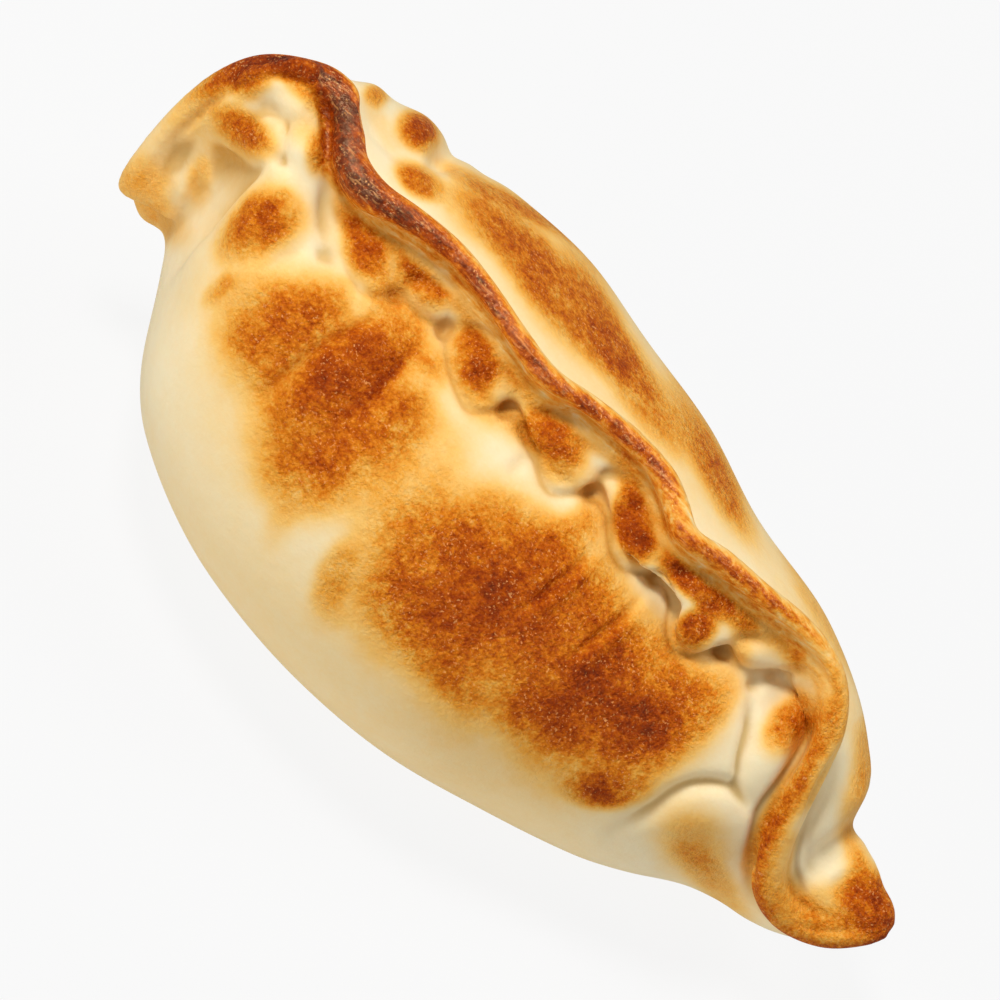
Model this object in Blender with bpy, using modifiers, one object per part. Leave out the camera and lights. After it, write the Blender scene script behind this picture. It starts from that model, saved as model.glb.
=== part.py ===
"""Baked turnover with a folded, crimped seam standing along its crest.

It rests on a small flat spot under its belly: +X along the length, +Y to the back, +Z up.
Every table is in millimetres; the finished mesh is in metres.
"""
import math

import bpy
import numpy as np

NAME = "empanada"
LENGTH = 120.0          # tip to tip
VOXEL = 0.62            # grid the belly and the seam are joined on
SMOOTHING = 6           # passes that round the join
SOFTENING = 1           # passes after the relief is added
FACES = 10400           # triangles kept
LEAN = math.radians(48.0)   # slope of the layout plane the relief is drawn on
FLAT = 0.35             # height taken off the bottom to give the flat spot
ROUNDNESS = 2.2         # 2 is an ellipse, more is squarer
BELLY_SIDES = 72
FILLED = (-42.0, 54.0)  # from x to x, the stretch whose seam points straight out from the belly
CREST = (-56.0, 42.0)   # from x to x, the stretch whose seam parts a near side from a far side
CREST_HEIGHT = 30.0     # the seam is above this there
LIP = 0.6               # depth that the relief adds under the scalloped edge

# x, y centre, z centre, half width, half height
BELLY = (
    (-57.0, 0.8, 31.0, 1.8, 13.6), (-54.5, 1.8, 32.4, 3.0, 17.6), (-51.6, 2.8, 33.0, 4.4, 18.0),
    (-48.3, 3.2, 30.5, 11.5, 17.8), (-42.8, 2.4, 26.5, 20.2, 19.0), (-37.3, 1.9, 24.0, 24.4, 20.0),
    (-26.3, 1.2, 22.0, 28.5, 21.3), (-15.2, 0.6, 21.0, 30.3, 21.3), (-4.2, 0.0, 20.0, 29.9, 20.5),
    (6.8, 0.2, 19.1, 28.2, 19.6), (17.8, 0.7, 17.9, 23.9, 18.3), (28.8, 2.3, 17.3, 20.7, 16.5),
    (34.3, 3.1, 17.0, 18.0, 15.0), (39.8, 3.7, 16.8, 14.2, 13.2), (44.0, 3.8, 15.6, 11.7, 11.5),
    (47.1, 2.9, 14.8, 10.0, 9.8), (48.8, 0.9, 13.8, 7.4, 7.3), (50.8, 0.9, 14.2, 7.0, 6.8),
    (55.2, 0.5, 15.2, 4.8, 4.6), (58.4, 0.5, 17.0, 2.6, 2.6), (59.9, 0.5, 17.6, 0.8, 0.8),
)

# x, y, z of the seam's outer edge, edge radius, depth of the fin, half thickness at the back
RIM = (
    (-57.3, -1.0, 19.8, 1.7, 12, 1.8), (-57.8, -0.9, 22.0, 1.8, 13, 1.9), (-58.3, 0.0, 27.0, 1.8, 14, 1.9),
    (-58.4, 1.0, 33.1, 1.8, 14, 1.9), (-57.7, 2.0, 39.4, 1.8, 14, 1.9), (-55.8, 3.0, 44.3, 1.8, 14, 1.9),
    (-52.7, 4.0, 47.1, 1.8, 13, 1.9), (-48.8, 4.5, 49.0, 1.8, 12, 1.9), (-45.2, 2.8, 48.5, 1.9, 12, 2.0),
    (-41.7, -0.6, 47.7, 2.0, 12, 2.2), (-37.3, -1.8, 47.7, 2.0, 12, 2.3), (-31.8, -0.8, 48.0, 1.8, 12, 2.3),
    (-26.3, 0.1, 47.8, 1.6, 12, 2.2), (-20.8, -0.3, 47.3, 1.5, 12, 2.1), (-15.2, -1.4, 46.8, 1.5, 12, 2.1),
    (-9.7, -1.9, 46.2, 1.5, 12, 2.1), (-4.2, -0.2, 45.6, 1.5, 12, 2.1), (1.3, 1.0, 45.1, 1.5, 12, 2.1),
    (6.8, 1.1, 44.5, 1.5, 12, 2.1), (10.1, -0.3, 44.1, 1.5, 12, 2.1), (13.4, -2.1, 43.6, 1.5, 12, 2.1),
    (17.8, -0.4, 42.9, 1.5, 12, 2.1), (23.3, 0.9, 41.9, 1.5, 12, 2.2), (28.8, 2.7, 40.6, 1.5, 12, 2.2),
    (33.7, 3.2, 39.2, 1.5, 11, 2.2), (37.0, 2.3, 37.5, 1.5, 10, 2.0), (39.5, 0.2, 34.9, 1.6, 9, 1.8),
    (41.1, -2.5, 31.3, 1.7, 9, 1.6), (42.6, -5.0, 26.6, 1.8, 8, 1.4), (44.2, -7.0, 22.3, 1.9, 7, 1.3),
    (46.6, -8.0, 18.4, 1.9, 6, 1.3), (50.3, -7.0, 15.9, 1.9, 5, 1.3), (54.7, -4.5, 15.6, 1.9, 4, 1.3),
    (58.0, -1.5, 16.9, 1.6, 3, 1.2), (59.6, 0.0, 17.8, 0.9, 2, 0.8),
)

# x, height on the layout plane and overhang of the scalloped lower edge of the fold
SCALLOPS = (
    (-42.0, 27.4, 2.2), (-39.5, 26.4, 3.0), (-37.3, 24.9, 4.0), (-34.0, 23.2, 5.4), (-31.2, 22.5, 6.0),
    (-29.4, 23.1, 5.6), (-28.3, 25.0, 3.4), (-26.8, 25.2, 4.2), (-24.6, 25.0, 4.7), (-22.6, 25.5, 4.2),
    (-21.5, 26.1, 2.9), (-19.7, 24.2, 4.0), (-17.5, 22.7, 5.0), (-15.2, 21.7, 5.7), (-13.4, 21.4, 5.8),
    (-12.0, 22.3, 5.0), (-10.5, 24.7, 2.9), (-8.6, 24.4, 3.8), (-6.4, 23.1, 4.7), (-4.2, 22.3, 5.3),
    (-2.0, 21.3, 5.9), (-0.4, 21.3, 5.9), (1.2, 22.7, 4.8), (2.5, 24.5, 2.8), (4.2, 24.2, 3.6),
    (5.8, 23.3, 4.4), (7.4, 21.9, 5.0), (9.0, 20.9, 5.3), (11.2, 20.8, 5.2), (12.8, 21.7, 4.4),
    (14.2, 22.7, 3.6), (15.6, 22.5, 4.1), (17.2, 21.5, 5.0), (18.3, 20.1, 5.8), (19.6, 18.7, 6.5),
    (21.1, 18.1, 6.8), (22.7, 18.7, 6.3), (23.8, 20.3, 5.0), (24.8, 21.7, 3.4), (26.2, 21.6, 3.4),
    (27.7, 21.4, 3.6), (29.3, 21.6, 3.4), (30.5, 22.6, 2.8), (33.0, 24.6, 2.0), (35.0, 25.5, 1.6),
)

# Relief lines on the near side: kind, height, half width, then (x, layout height) points.
# A step raises the ground on the left of its path and lowers it on the right.
NEAR_LINES = (
    ("step", 0.35, 0.5, [(x, t) for x, t, _ in SCALLOPS[1:43]]),
    ("groove", 0.5, 0.4, [(x, t - 0.1) for x, t, _ in SCALLOPS[2:42]]),
    # the thin double line under the edge, from the flap to the narrow end
    ("groove", 0.5, 0.5, ((-57.4, 16.0), (-57.6, 20.0), (-57.3, 25.0), (-56.2, 29.0), (-54.4, 32.0),
                           (-51.7, 33.7), (-48.5, 33.8), (-46.4, 32.5), (-44.6, 30.8), (-42.9, 29.3),
                           (-40.6, 28.1), (-37.3, 27.9), (-32.9, 29.5), (-29.6, 30.3), (-26.3, 30.5),
                           (-21.9, 30.2), (-15.2, 28.6), (-10.8, 27.7), (-6.4, 28.4), (-2.0, 29.2),
                           (2.4, 29.3), (4.6, 29.2), (7.9, 27.9), (10.1, 26.8), (11.7, 26.0),
                           (14.5, 26.0), (17.8, 26.2), (21.1, 26.8), (24.4, 27.3), (28.8, 27.7),
                           (32.1, 27.7), (34.3, 27.3), (36.5, 26.4), (39.2, 24.6))),
    ("groove", 0.35, 0.35, ((-38.0, 26.6), (-33.5, 28.2), (-29.6, 29.2), (-25.5, 29.5), (-21.0, 28.8))),
    ("groove", 0.35, 0.35, ((2.4, 28.3), (5.0, 28.1), (8.2, 26.9), (11.0, 25.2), (14.5, 25.1),
                            (18.5, 25.4), (23.0, 26.1), (28.0, 26.7), (32.5, 26.7))),
    # folds running up from each pit to the edge
    ("groove", 0.8, 0.75, ((-10.5, 24.4), (-8.5, 25.8), (-6.0, 27.3), (-3.4, 28.5), (-0.9, 29.2))),
    ("groove", 0.7, 0.8, ((2.4, 24.6), (2.0, 25.9), (3.2, 27.0), (5.2, 27.8))),
    ("groove", 0.7, 0.8, ((-21.4, 25.8), (-20.6, 27.0), (-18.5, 27.8), (-15.5, 28.3))),
    ("groove", 0.6, 0.7, ((14.2, 22.8), (15.2, 24.1), (17.0, 25.2))),
    ("groove", 0.8, 0.8, ((24.9, 21.9), (25.4, 23.4), (26.6, 24.8), (28.6, 26.2))),
    ("groove", 0.7, 0.8, ((-28.1, 25.2), (-28.0, 26.6), (-26.0, 28.1), (-22.6, 29.2))),
    ("groove", 0.6, 0.8, ((-42.8, 28.8), (-41.7, 27.4), (-39.7, 25.0), (-37.3, 23.1), (-36.0, 22.3))),
    # pleats running down the belly
    ("groove", 0.8, 0.45, ((7.0, 20.9), (6.9, 18.0), (6.7, 15.2), (6.2, 11.4), (5.6, 7.0))),
    ("ridge", 0.5, 0.8, ((8.2, 20.9), (8.1, 18.0), (7.9, 15.2), (7.4, 11.4), (6.8, 7.0))),
    ("groove", 0.8, 0.45, ((14.1, 21.0), (14.3, 17.4), (14.0, 14.1), (13.6, 11.4), (13.2, 7.0))),
    ("ridge", 0.5, 0.8, ((15.3, 21.0), (15.5, 17.4), (15.2, 14.1), (14.8, 11.4), (14.4, 7.0))),
    ("groove", 0.5, 0.4, ((-27.4, 24.0), (-28.6, 20.0), (-30.0, 15.0), (-30.9, 9.5), (-31.4, 5.0))),
    ("groove", 0.45, 0.4, ((-22.8, 23.4), (-22.5, 19.0), (-22.2, 15.0), (-22.0, 11.0))),
    ("groove", 0.5, 0.5, ((-44.6, 24.6), (-44.4, 21.5), (-44.6, 18.0))),
    ("groove", 0.55, 1.3, ((-28.1, 24.9), (-28.2, 22.5), (-29.6, 18.6), (-30.6, 14.0), (-30.8, 8.0),
                           (-30.0, 2.0))),
    ("groove", 0.40, 1.3, ((-21.9, 25.7), (-22.7, 20.7), (-23.0, 16.3), (-22.6, 9.0), (-22.0, 3.0))),
    ("groove", 0.3, 0.8, ((-5.9, 22.4), (-5.3, 18.5))),
    ("ridge", 0.6, 2.0, ((-25.4, 24.0), (-26.2, 18.0), (-26.6, 11.0), (-26.0, 3.0))),
    ("ridge", 0.5, 2.4, ((-33.5, 22.0), (-35.0, 16.0), (-35.0, 9.0), (-34.0, 2.0))),
    ("ridge", 0.4, 2.0, ((-19.0, 22.5), (-19.5, 17.0), (-18.5, 10.0), (-17.5, 3.0))),
    ("step", 0.45, 1.0, ((-39.6, 24.0), (-40.2, 21.6), (-41.0, 18.1), (-42.2, 13.5), (-42.6, 8.5))),
    ("groove", 0.7, 1.2, ((-38.4, 23.6), (-39.2, 20.9), (-40.2, 17.6), (-40.6, 13.5))),
    ("ridge", 0.8, 2.2, ((-43.6, 26.0), (-44.4, 21.0), (-44.6, 14.0))),
    ("step", 1.0, 0.6, ((-47.3, 27.0), (-47.9, 24.6), (-48.1, 20.7), (-47.7, 16.3), (-47.2, 11.0),
                        (-46.6, 6.5))),
    ("groove", 1.0, 1.6, ((-48.9, 25.0), (-49.2, 20.7), (-48.9, 16.3), (-48.3, 11.9))),
    # panels of dough at the narrow end
    ("groove", 1.0, 0.7, ((29.8, 21.9), (31.5, 19.1), (33.2, 16.9), (34.8, 14.1), (36.7, 11.9),
                          (38.7, 10.8), (40.9, 10.3))),
    ("groove", 1.1, 1.0, ((41.3, 10.6), (37.6, 11.3), (35.4, 10.9), (33.2, 8.9), (32.1, 6.4),
                          (31.5, 3.1), (30.4, -0.2), (29.8, -3.5))),
    ("ridge", 0.5, 1.9, ((43.0, 7.6), (39.6, 8.4), (36.6, 7.6), (35.4, 5.6), (34.8, 2.6), (34.4, -0.5))),
    ("ridge", 1.7, 2.0, ((34.6, 27.0), (35.0, 24.5), (35.4, 21.5), (36.2, 18.0), (37.8, 14.5), (39.6, 11.8))),
    ("groove", 0.6, 0.7, ((33.4, 27.0), (31.4, 24.2), (29.8, 21.9))),
    ("groove", 0.8, 0.6, ((38.0, 23.5), (38.5, 20.2), (39.1, 16.0), (39.8, 13.0), (40.7, 10.6),
                          (42.0, 8.4), (43.7, 6.4), (45.9, 4.5), (48.1, 3.5))),
    ("groove", 0.6, 0.45, ((40.6, 25.2), (41.7, 22.6), (42.4, 19.9), (43.3, 17.1), (44.7, 14.4),
                           (46.3, 11.6), (48.1, 9.5), (50.4, 8.6), (52.3, 9.0))),
    ("groove", 0.5, 0.7, ((42.4, 23.2), (42.9, 21.7), (43.8, 18.5), (44.9, 15.7), (46.3, 13.0),
                          (47.9, 11.4), (50.0, 10.7), (51.6, 10.9))),
    ("groove", 0.5, 0.5, ((50.4, 4.7), (53.0, 6.0), (55.2, 7.6), (57.4, 9.9), (58.6, 11.6))),
    ("ridge", 0.7, 1.1, ((49.9, 16.3), (52.0, 15.8), (54.2, 14.9), (57.0, 13.2))),
    ("groove", 0.7, 1.5, ((50.5, 12.8), (53.0, 12.2), (55.0, 11.4))),
    # the flap at the wide end
    ("step", 0.9, 0.6, ((-54.8, 23.9), (-53.4, 23.5), (-51.6, 23.5), (-49.6, 24.0), (-48.3, 25.1),
                        (-47.7, 26.3))),
    ("step", 0.7, 0.6, ((-47.5, 26.6), (-49.4, 28.6), (-51.6, 29.0), (-54.0, 27.8))),
    ("groove", 0.9, 0.7, ((-46.0, 26.4), (-48.2, 27.4), (-49.6, 29.0), (-49.8, 31.0))),
    ("ridge", 0.8, 1.1, ((-53.9, 20.4), (-53.4, 17.6), (-52.6, 14.0))),
    ("ridge", 0.5, 0.7, ((-54.3, 20.5), (-52.6, 19.6), (-51.2, 18.0))),
)

# Swellings and dents on the near side: x, layout height, two radii, turn in degrees, height.
NEAR_SPOTS = (
    (-28.0, 24.6, 1.0, 1.0, 0, -1.1), (-21.4, 25.6, 0.9, 1.0, 0, -1.2), (-10.5, 24.2, 0.9, 1.0, 0, -1.2),
    (2.6, 24.0, 1.0, 1.0, 0, -1.1), (14.3, 22.2, 0.9, 0.9, 0, -0.9), (24.9, 21.4, 1.0, 0.9, 0, -1.0),
    (30.0, 21.3, 0.9, 0.9, 0, -0.8), (-36.7, 22.2, 1.2, 1.0, 0, -0.7),
    # the plump fronts of the folds
    (-33.2, 25.6, 3.0, 1.9, -20, 1.1), (-25.4, 27.2, 2.1, 1.3, 0, 0.7), (-16.0, 25.1, 2.9, 1.9, -25, 1.1),
    (-3.6, 24.9, 3.4, 1.9, -15, 1.0), (8.6, 24.2, 2.8, 1.9, -25, 1.0), (18.4, 24.2, 2.8, 1.5, -15, 0.6),
    (21.2, 21.0, 1.7, 1.9, 0, 0.8), (27.6, 23.6, 2.2, 1.5, 20, 0.5),
    # the pocket in the narrow end
    (49.4, 13.2, 2.6, 2.2, 0, -0.7), (39.5, 5.0, 4.6, 3.4, -10, 0.5), (47.0, 20.0, 1.8, 1.8, 0, 0.5),
    # the flap
    (-51.8, 25.9, 3.2, 1.9, 12, 1.5), (-47.2, 26.3, 1.0, 0.8, 0, -1.1), (-51.2, 31.2, 2.2, 1.3, 0, 0.7),
    (-46.2, 29.0, 2.0, 1.8, -20, 1.1), (-55.7, 30.8, 1.6, 1.6, 0, 0.5), (-56.0, 18.6, 1.4, 3.0, 0, -1.1),
)

FAR_LINES = (
    ("groove", 0.9, 1.0, ((-47.7, 37.8), (-43.9, 36.4), (-39.5, 36.1), (-36.2, 36.9), (-33.6, 38.6))),
    ("groove", 1.1, 1.3, ((-36.8, 37.3), (-34.8, 39.2), (-33.6, 41.0))),
)
FAR_SPOTS = (
    (-39.0, 39.0, 2.6, 1.8, 0, 1.3), (-45.5, 38.6, 2.0, 1.6, 0, 0.8), (-35.6, 35.4, 1.8, 1.1, 0, 0.5),
    (-34.4, 40.2, 1.6, 2.0, 0, -1.0), (-31.2, 41.2, 2.6, 2.0, 0, -0.6), (-16.0, 42.2, 8.0, 2.6, 0, 0.4),
)


def spline(rows, step, keys=3):
    """Rows of numbers joined by a smooth curve, evenly spaced along their first columns"""
    rows = np.array(rows, float)
    along = np.concatenate([[0.0], np.cumsum(np.linalg.norm(np.diff(rows[:, :keys], axis=0), axis=1))])
    slope = np.empty_like(rows)
    slope[1:-1] = (rows[2:] - rows[:-2]) / (along[2:] - along[:-2])[:, None]
    slope[0] = (rows[1] - rows[0]) / (along[1] - along[0])
    slope[-1] = (rows[-1] - rows[-2]) / (along[-1] - along[-2])
    at = np.linspace(0.0, along[-1], int(along[-1] / step) + 2)
    k = np.clip(np.searchsorted(along, at, side="right") - 1, 0, len(along) - 2)
    gap = (along[k + 1] - along[k])[:, None]
    f = (at - along[k])[:, None] / gap
    return ((2 * f**3 - 3 * f**2 + 1) * rows[k] + (f**3 - 2 * f**2 + f) * gap * slope[k]
            + (3 * f**2 - 2 * f**3) * rows[k + 1] + (f**3 - f**2) * gap * slope[k + 1])


def tube(rings):
    """Closed skin over a run of rings that all have the same number of points"""
    count, sides = rings.shape[:2]
    corners = np.arange(count * sides).reshape(count, sides)
    here, after = corners[:-1], corners[1:]
    quads = np.stack([here, np.roll(here, -1, 1), np.roll(after, -1, 1), after], -1).reshape(-1, 4)
    first, last = count * sides, count * sides + 1
    ends = [(first, int(b), int(a)) for a, b in zip(corners[0], np.roll(corners[0], -1))]
    ends += [(last, int(a), int(b)) for a, b in zip(corners[-1], np.roll(corners[-1], -1))]
    points = np.vstack([rings.reshape(-1, 3), rings[0].mean(0), rings[-1].mean(0)])
    return points, [tuple(int(c) for c in q) for q in quads] + ends


def belly():
    """The filled body: rounded sections, flattened where they meet the table"""
    rows = spline(BELLY, 1.2)
    turn = np.linspace(0.0, 2.0 * math.pi, BELLY_SIDES, endpoint=False)
    c, s = np.cos(turn), np.sin(turn)
    power = 2.0 / ROUNDNESS
    across = np.sign(c) * np.abs(c) ** power
    up = np.sign(s) * np.abs(s) ** power
    x, y, z, wide, high = rows.T[:, :, None]
    rings = np.stack([x + 0 * across, y + wide * across, np.maximum(z + high * up, 0.0)], -1)
    return tube(rings)


def rim_frames():
    """Points along the seam edge with their outward and near-side directions"""
    rows = spline(RIM, 0.6)
    centre = rows[:, :3]
    along = np.gradient(centre, axis=0)
    along /= np.linalg.norm(along, axis=1)[:, None]
    shape = np.array(BELLY)
    core_x = np.clip(centre[:, 0], *FILLED)
    core = np.stack([core_x, np.interp(core_x, shape[:, 0], shape[:, 1]),
                     np.interp(core_x, shape[:, 0], shape[:, 2])], -1)
    core[:, 2] = np.minimum(core[:, 2], centre[:, 2])
    out = centre - core
    out -= along * (out * along).sum(1)[:, None]
    out /= np.linalg.norm(out, axis=1)[:, None]
    return rows, centre, out, np.cross(along, out)


def section(radius, bulge, drop, deep, back):
    """Outline across the seam, as near-side and inward distances from the centre of its edge"""
    neck, waist = 0.9 * radius, 1.7 * radius
    swell, hang = bulge - neck, drop - waist
    angles = np.radians(range(0, 111, 22))
    roll = [(radius * math.sin(a), -radius * math.cos(a)) for a in angles]
    front = [(neck, 1.5 * radius), (neck + 0.45 * swell, waist + 0.3 * hang),
             (neck + 0.85 * swell, waist + 0.6 * hang), (bulge, waist + 0.85 * hang)]
    under = [(0.94 * bulge, drop), (0.7 * bulge, drop + 0.5), (1.0, drop + 1.2), (0.8, deep)]
    rear = [(-back - 1.2, deep), (-back - 0.5, 0.65 * deep), (-back, 0.35 * deep),
            (-0.95 * radius, 1.5 * radius)]
    return np.array(roll + front + under + rear + [(-side, inward) for side, inward in roll[:0:-1]])


def seam():
    """The folded edge: a rolled rim over a scalloped fold, standing in the crest of the belly"""
    rows, centre, out, near = rim_frames()
    lean = np.array([0.0, math.sin(LEAN), math.cos(LEAN)])
    table = np.array(SCALLOPS)
    crest = (centre[:, 0] > table[0, 0]) & (centre[:, 0] < table[-1, 0])
    rings = []
    for k in range(len(rows)):
        radius, deep, back = rows[k, 3:6]
        bulge, drop = 1.1 * radius, 3.2 * radius
        if crest[k]:
            height = np.interp(centre[k, 0], table[:, 0], table[:, 1]) + LIP
            bulge = max(bulge, np.interp(centre[k, 0], table[:, 0], table[:, 2]))
            drop = (centre[k] @ lean + bulge * (near[k] @ lean) - height) / (out[k] @ lean)
            drop = min(max(drop, 2.9 * radius), deep - 3.0)
        offsets = section(radius, bulge, drop, deep, back)
        rings.append(centre[k] + offsets[:, :1] * near[k] - offsets[:, 1:] * out[k])
    return tube(np.array(rings))


def evaluated(points, faces, settings):
    """A mesh after a run of modifiers, as points and faces"""
    mesh = bpy.data.meshes.new("work")
    mesh.from_pydata([tuple(p) for p in points], [], faces)
    work = bpy.data.objects.new("work", mesh)
    bpy.context.scene.collection.objects.link(work)
    for kind, values in settings:
        modifier = work.modifiers.new(kind.lower(), kind)
        for key, value in values.items():
            setattr(modifier, key, value)
    graph = bpy.context.evaluated_depsgraph_get()
    result = bpy.data.meshes.new_from_object(work.evaluated_get(graph))
    bpy.data.objects.remove(work)
    bpy.data.meshes.remove(mesh)
    return result


def coordinates(mesh):
    flat = np.empty(len(mesh.vertices) * 3)
    mesh.vertices.foreach_get("co", flat)
    return flat.reshape(-1, 3)


def normals(mesh):
    flat = np.empty(len(mesh.vertices) * 3)
    mesh.vertices.foreach_get("normal", flat)
    return flat.reshape(-1, 3)


def smoothstep(low, high, value):
    f = np.clip((value - low) / (high - low), 0.0, 1.0)
    return f * f * (3.0 - 2.0 * f)


def line_relief(spots, kind, height, width, path):
    """Height added at each spot of the layout plane by one line"""
    path = spline(path, 0.5, keys=2)
    reach = 6.0 * width + 3.0
    inside = np.all((spots > path.min(0) - reach) & (spots < path.max(0) + reach), axis=1)
    near = spots[inside]
    gap, side = np.full(len(near), 1e9), np.zeros(len(near))
    along, length = np.zeros(len(near)), 0.0
    for start, end in zip(path[:-1], path[1:]):
        run = end - start
        size = math.hypot(*run)
        away = near - start
        f = np.clip(away @ run / size**2, 0.0, 1.0)
        off = np.hypot(*(away - f[:, None] * run).T)
        closer = off < gap
        gap[closer] = off[closer]
        side[closer] = np.sign(run[0] * away[:, 1] - run[1] * away[:, 0])[closer]
        along[closer] = (length + f * size)[closer]
        length += size
    fade = smoothstep(0.0, min(7.0, 0.45 * length), np.minimum(along, length - along))
    if kind == "step":
        shape = np.tanh(side * gap / width) * np.exp(-gap / 2.0)
    else:
        shape = np.exp(-(gap / width) ** 2) * (1.0 if kind == "ridge" else -1.0)
    result = np.zeros(len(spots))
    result[inside] = height * shape * fade
    return result


def spot_relief(spots, x, t, long, short, turn, height):
    """Height added by one round swelling or dent"""
    c, s = math.cos(math.radians(turn)), math.sin(math.radians(turn))
    dx, dt = spots[:, 0] - x, spots[:, 1] - t
    return height * np.exp(-((c * dx + s * dt) / long) ** 2 - ((c * dt - s * dx) / short) ** 2)


def sides(points):
    """How far each point belongs to the near side and to the far side of the seam, from 0 to 1"""
    edge = spline([row[:3] for row in RIM if CREST[0] < row[0] < CREST[1] and row[2] > CREST_HEIGHT], 1.0)
    behind = points[:, 1] - np.interp(points[:, 0], edge[:, 0], edge[:, 1])
    behind[points[:, 0] > CREST[1] - 1.0] = -5.0
    far = smoothstep(0.4, 1.4, behind)
    return 1.0 - far, far


def carve(points, directions):
    """Points moved along their normals by the relief drawn on the layout plane"""
    up_plane = np.array([0.0, math.sin(LEAN), math.cos(LEAN)])
    facing = directions @ np.array([0.0, -math.cos(LEAN), math.sin(LEAN)])
    spots = np.stack([points[:, 0], points @ up_plane], -1)
    near, far = sides(points)
    near = near * smoothstep(-0.05, 0.3, facing)
    far = far * smoothstep(-0.7, 0.0, facing)
    move = np.zeros(len(points))
    for lines, blobs, shown in ((NEAR_LINES, NEAR_SPOTS, near), (FAR_LINES, FAR_SPOTS, far)):
        total = sum(line_relief(spots, *line) for line in lines)
        total = total + sum(spot_relief(spots, *spot) for spot in blobs)
        move += shown * total
    return points + directions * move[:, None]


def shape_mesh(voxel, smoothing, faces):
    """The whole turnover as one closed mesh of about the given number of triangles, in millimetres"""
    body_points, body_faces = belly()
    seam_points, seam_faces = seam()
    shift = len(body_points)
    faces_in = body_faces + [tuple(c + shift for c in f) for f in seam_faces]
    mesh = evaluated(np.vstack([body_points, seam_points]), faces_in, (
        ("REMESH", {"mode": "VOXEL", "voxel_size": voxel}),
        ("SMOOTH", {"factor": 0.5, "iterations": smoothing})))
    points = carve(coordinates(mesh), normals(mesh))
    polygons = [tuple(p.vertices) for p in mesh.polygons]
    triangles = 2 * len(polygons)
    bpy.data.meshes.remove(mesh)
    mesh = evaluated(points, polygons, (("SMOOTH", {"factor": 0.5, "iterations": SOFTENING}),))
    points = coordinates(mesh)
    points[:, 2] = np.maximum(points[:, 2] - FLAT, 0.0)
    bpy.data.meshes.remove(mesh)
    mesh = evaluated(points, polygons, (
        ("TRIANGULATE", {}),
        ("DECIMATE", {"ratio": min(1.0, faces / triangles)})))
    points = coordinates(mesh)
    points[points[:, 2] < 0.06, 2] = 0.0
    low, high = points.min(0), points.max(0)
    middle = np.array([(low[0] + high[0]) / 2.0, (low[1] + high[1]) / 2.0, 0.0])
    scale = LENGTH / (high[0] - low[0])
    mesh.vertices.foreach_set("co", ((points - middle) * scale * 0.001).ravel())
    mesh.update()
    return mesh, middle, scale


def crust():
    """Plain pale dough"""
    material = bpy.data.materials.new("crust")
    material.use_nodes = True
    shader = material.node_tree.nodes["Principled BSDF"]
    shader.inputs["Base Color"].default_value = (0.72, 0.42, 0.17, 1.0)
    shader.inputs["Roughness"].default_value = 0.5
    return material


def main():
    for item in list(bpy.data.objects):
        bpy.data.objects.remove(item)
    collection = bpy.data.collections.new(NAME)
    bpy.context.scene.collection.children.link(collection)
    mesh, _, _ = shape_mesh(VOXEL, SMOOTHING, FACES)
    mesh.name = NAME
    mesh.polygons.foreach_set("use_smooth", [True] * len(mesh.polygons))
    mesh.materials.append(crust())
    collection.objects.link(bpy.data.objects.new(NAME, mesh))


if __name__ == "__main__":
    main()
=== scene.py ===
"""The looks of a baked empanada: a fine crust over the CAD solid, browned in patches.

The crust is built the way the CAD solid is, from the same tables, on a finer grid.
Tables are in millimetres: x along the length and t up a layout plane that leans back 48 degrees.
"""

import math

import bpy
import numpy as np
from mathutils import Matrix, Vector


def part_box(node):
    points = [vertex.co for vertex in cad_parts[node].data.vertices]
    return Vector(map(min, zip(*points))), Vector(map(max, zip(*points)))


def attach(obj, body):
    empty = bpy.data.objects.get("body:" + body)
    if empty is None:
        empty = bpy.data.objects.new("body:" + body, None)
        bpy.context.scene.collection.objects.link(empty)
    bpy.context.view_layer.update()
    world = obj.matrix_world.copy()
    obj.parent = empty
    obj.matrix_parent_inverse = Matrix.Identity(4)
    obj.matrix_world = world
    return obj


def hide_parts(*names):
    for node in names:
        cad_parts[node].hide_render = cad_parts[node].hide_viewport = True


NODE = "empanada"
MM = 0.001              # metres in a millimetre
LENGTH = 120.0          # tip to tip
VOXEL = 0.33            # grid the belly and the seam are joined on
SMOOTHING = 13          # passes that round the join
SOFTENING = 2           # passes after the relief is added
FACES = 190000          # triangles kept
LEAN = math.radians(48.0)   # slope of the layout plane
FLAT = 0.35             # height taken off the bottom to give the flat spot
ROUNDNESS = 2.2         # 2 is an ellipse, more is squarer
BELLY_SIDES = 96
FILLED = (-42.0, 54.0)  # from x to x, the stretch whose seam points straight out from the belly
CREST = (-56.0, 42.0)   # from x to x, the stretch whose seam parts a near side from a far side
CREST_HEIGHT = 30.0     # the seam is above this there
LIP = 0.6               # depth that the relief adds under the scalloped edge
PLAIN_BULGE = 1.1       # the fold stands out at least this far, in edge radii
PLAIN_DROP = 3.2        # where it isn't scalloped, it reaches this far down, in edge radii
LEAST_DROP = 2.9        # where it is, it reaches at least this far down, in edge radii
FIN_LEFT = 3.0          # and leaves at least this depth of fin below it
BELLY_STEP = 1.2        # spacing of the rings round the belly
RIM_STEP = 0.6          # spacing of the rings round the seam
LINE_STEP = 0.5         # spacing along a relief line
LINE_FADE = 7.0         # stretch over which a relief line fades at its ends
STEP_FALL = 2.0         # stretch beside a step in which the ground settles back
EDGE_STEP = 1.0         # spacing of the line that parts the near side from the far side
BEHIND = (0.4, 1.4)     # distance behind that line: all near side, all far side
BOTTOM = 0.06           # points lower than this are laid on the table

UP_PLANE = np.array([0.0, math.sin(LEAN), math.cos(LEAN)])      # up the layout plane
OUT_PLANE = np.array([0.0, -math.cos(LEAN), math.sin(LEAN)])    # square out of the layout plane
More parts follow.
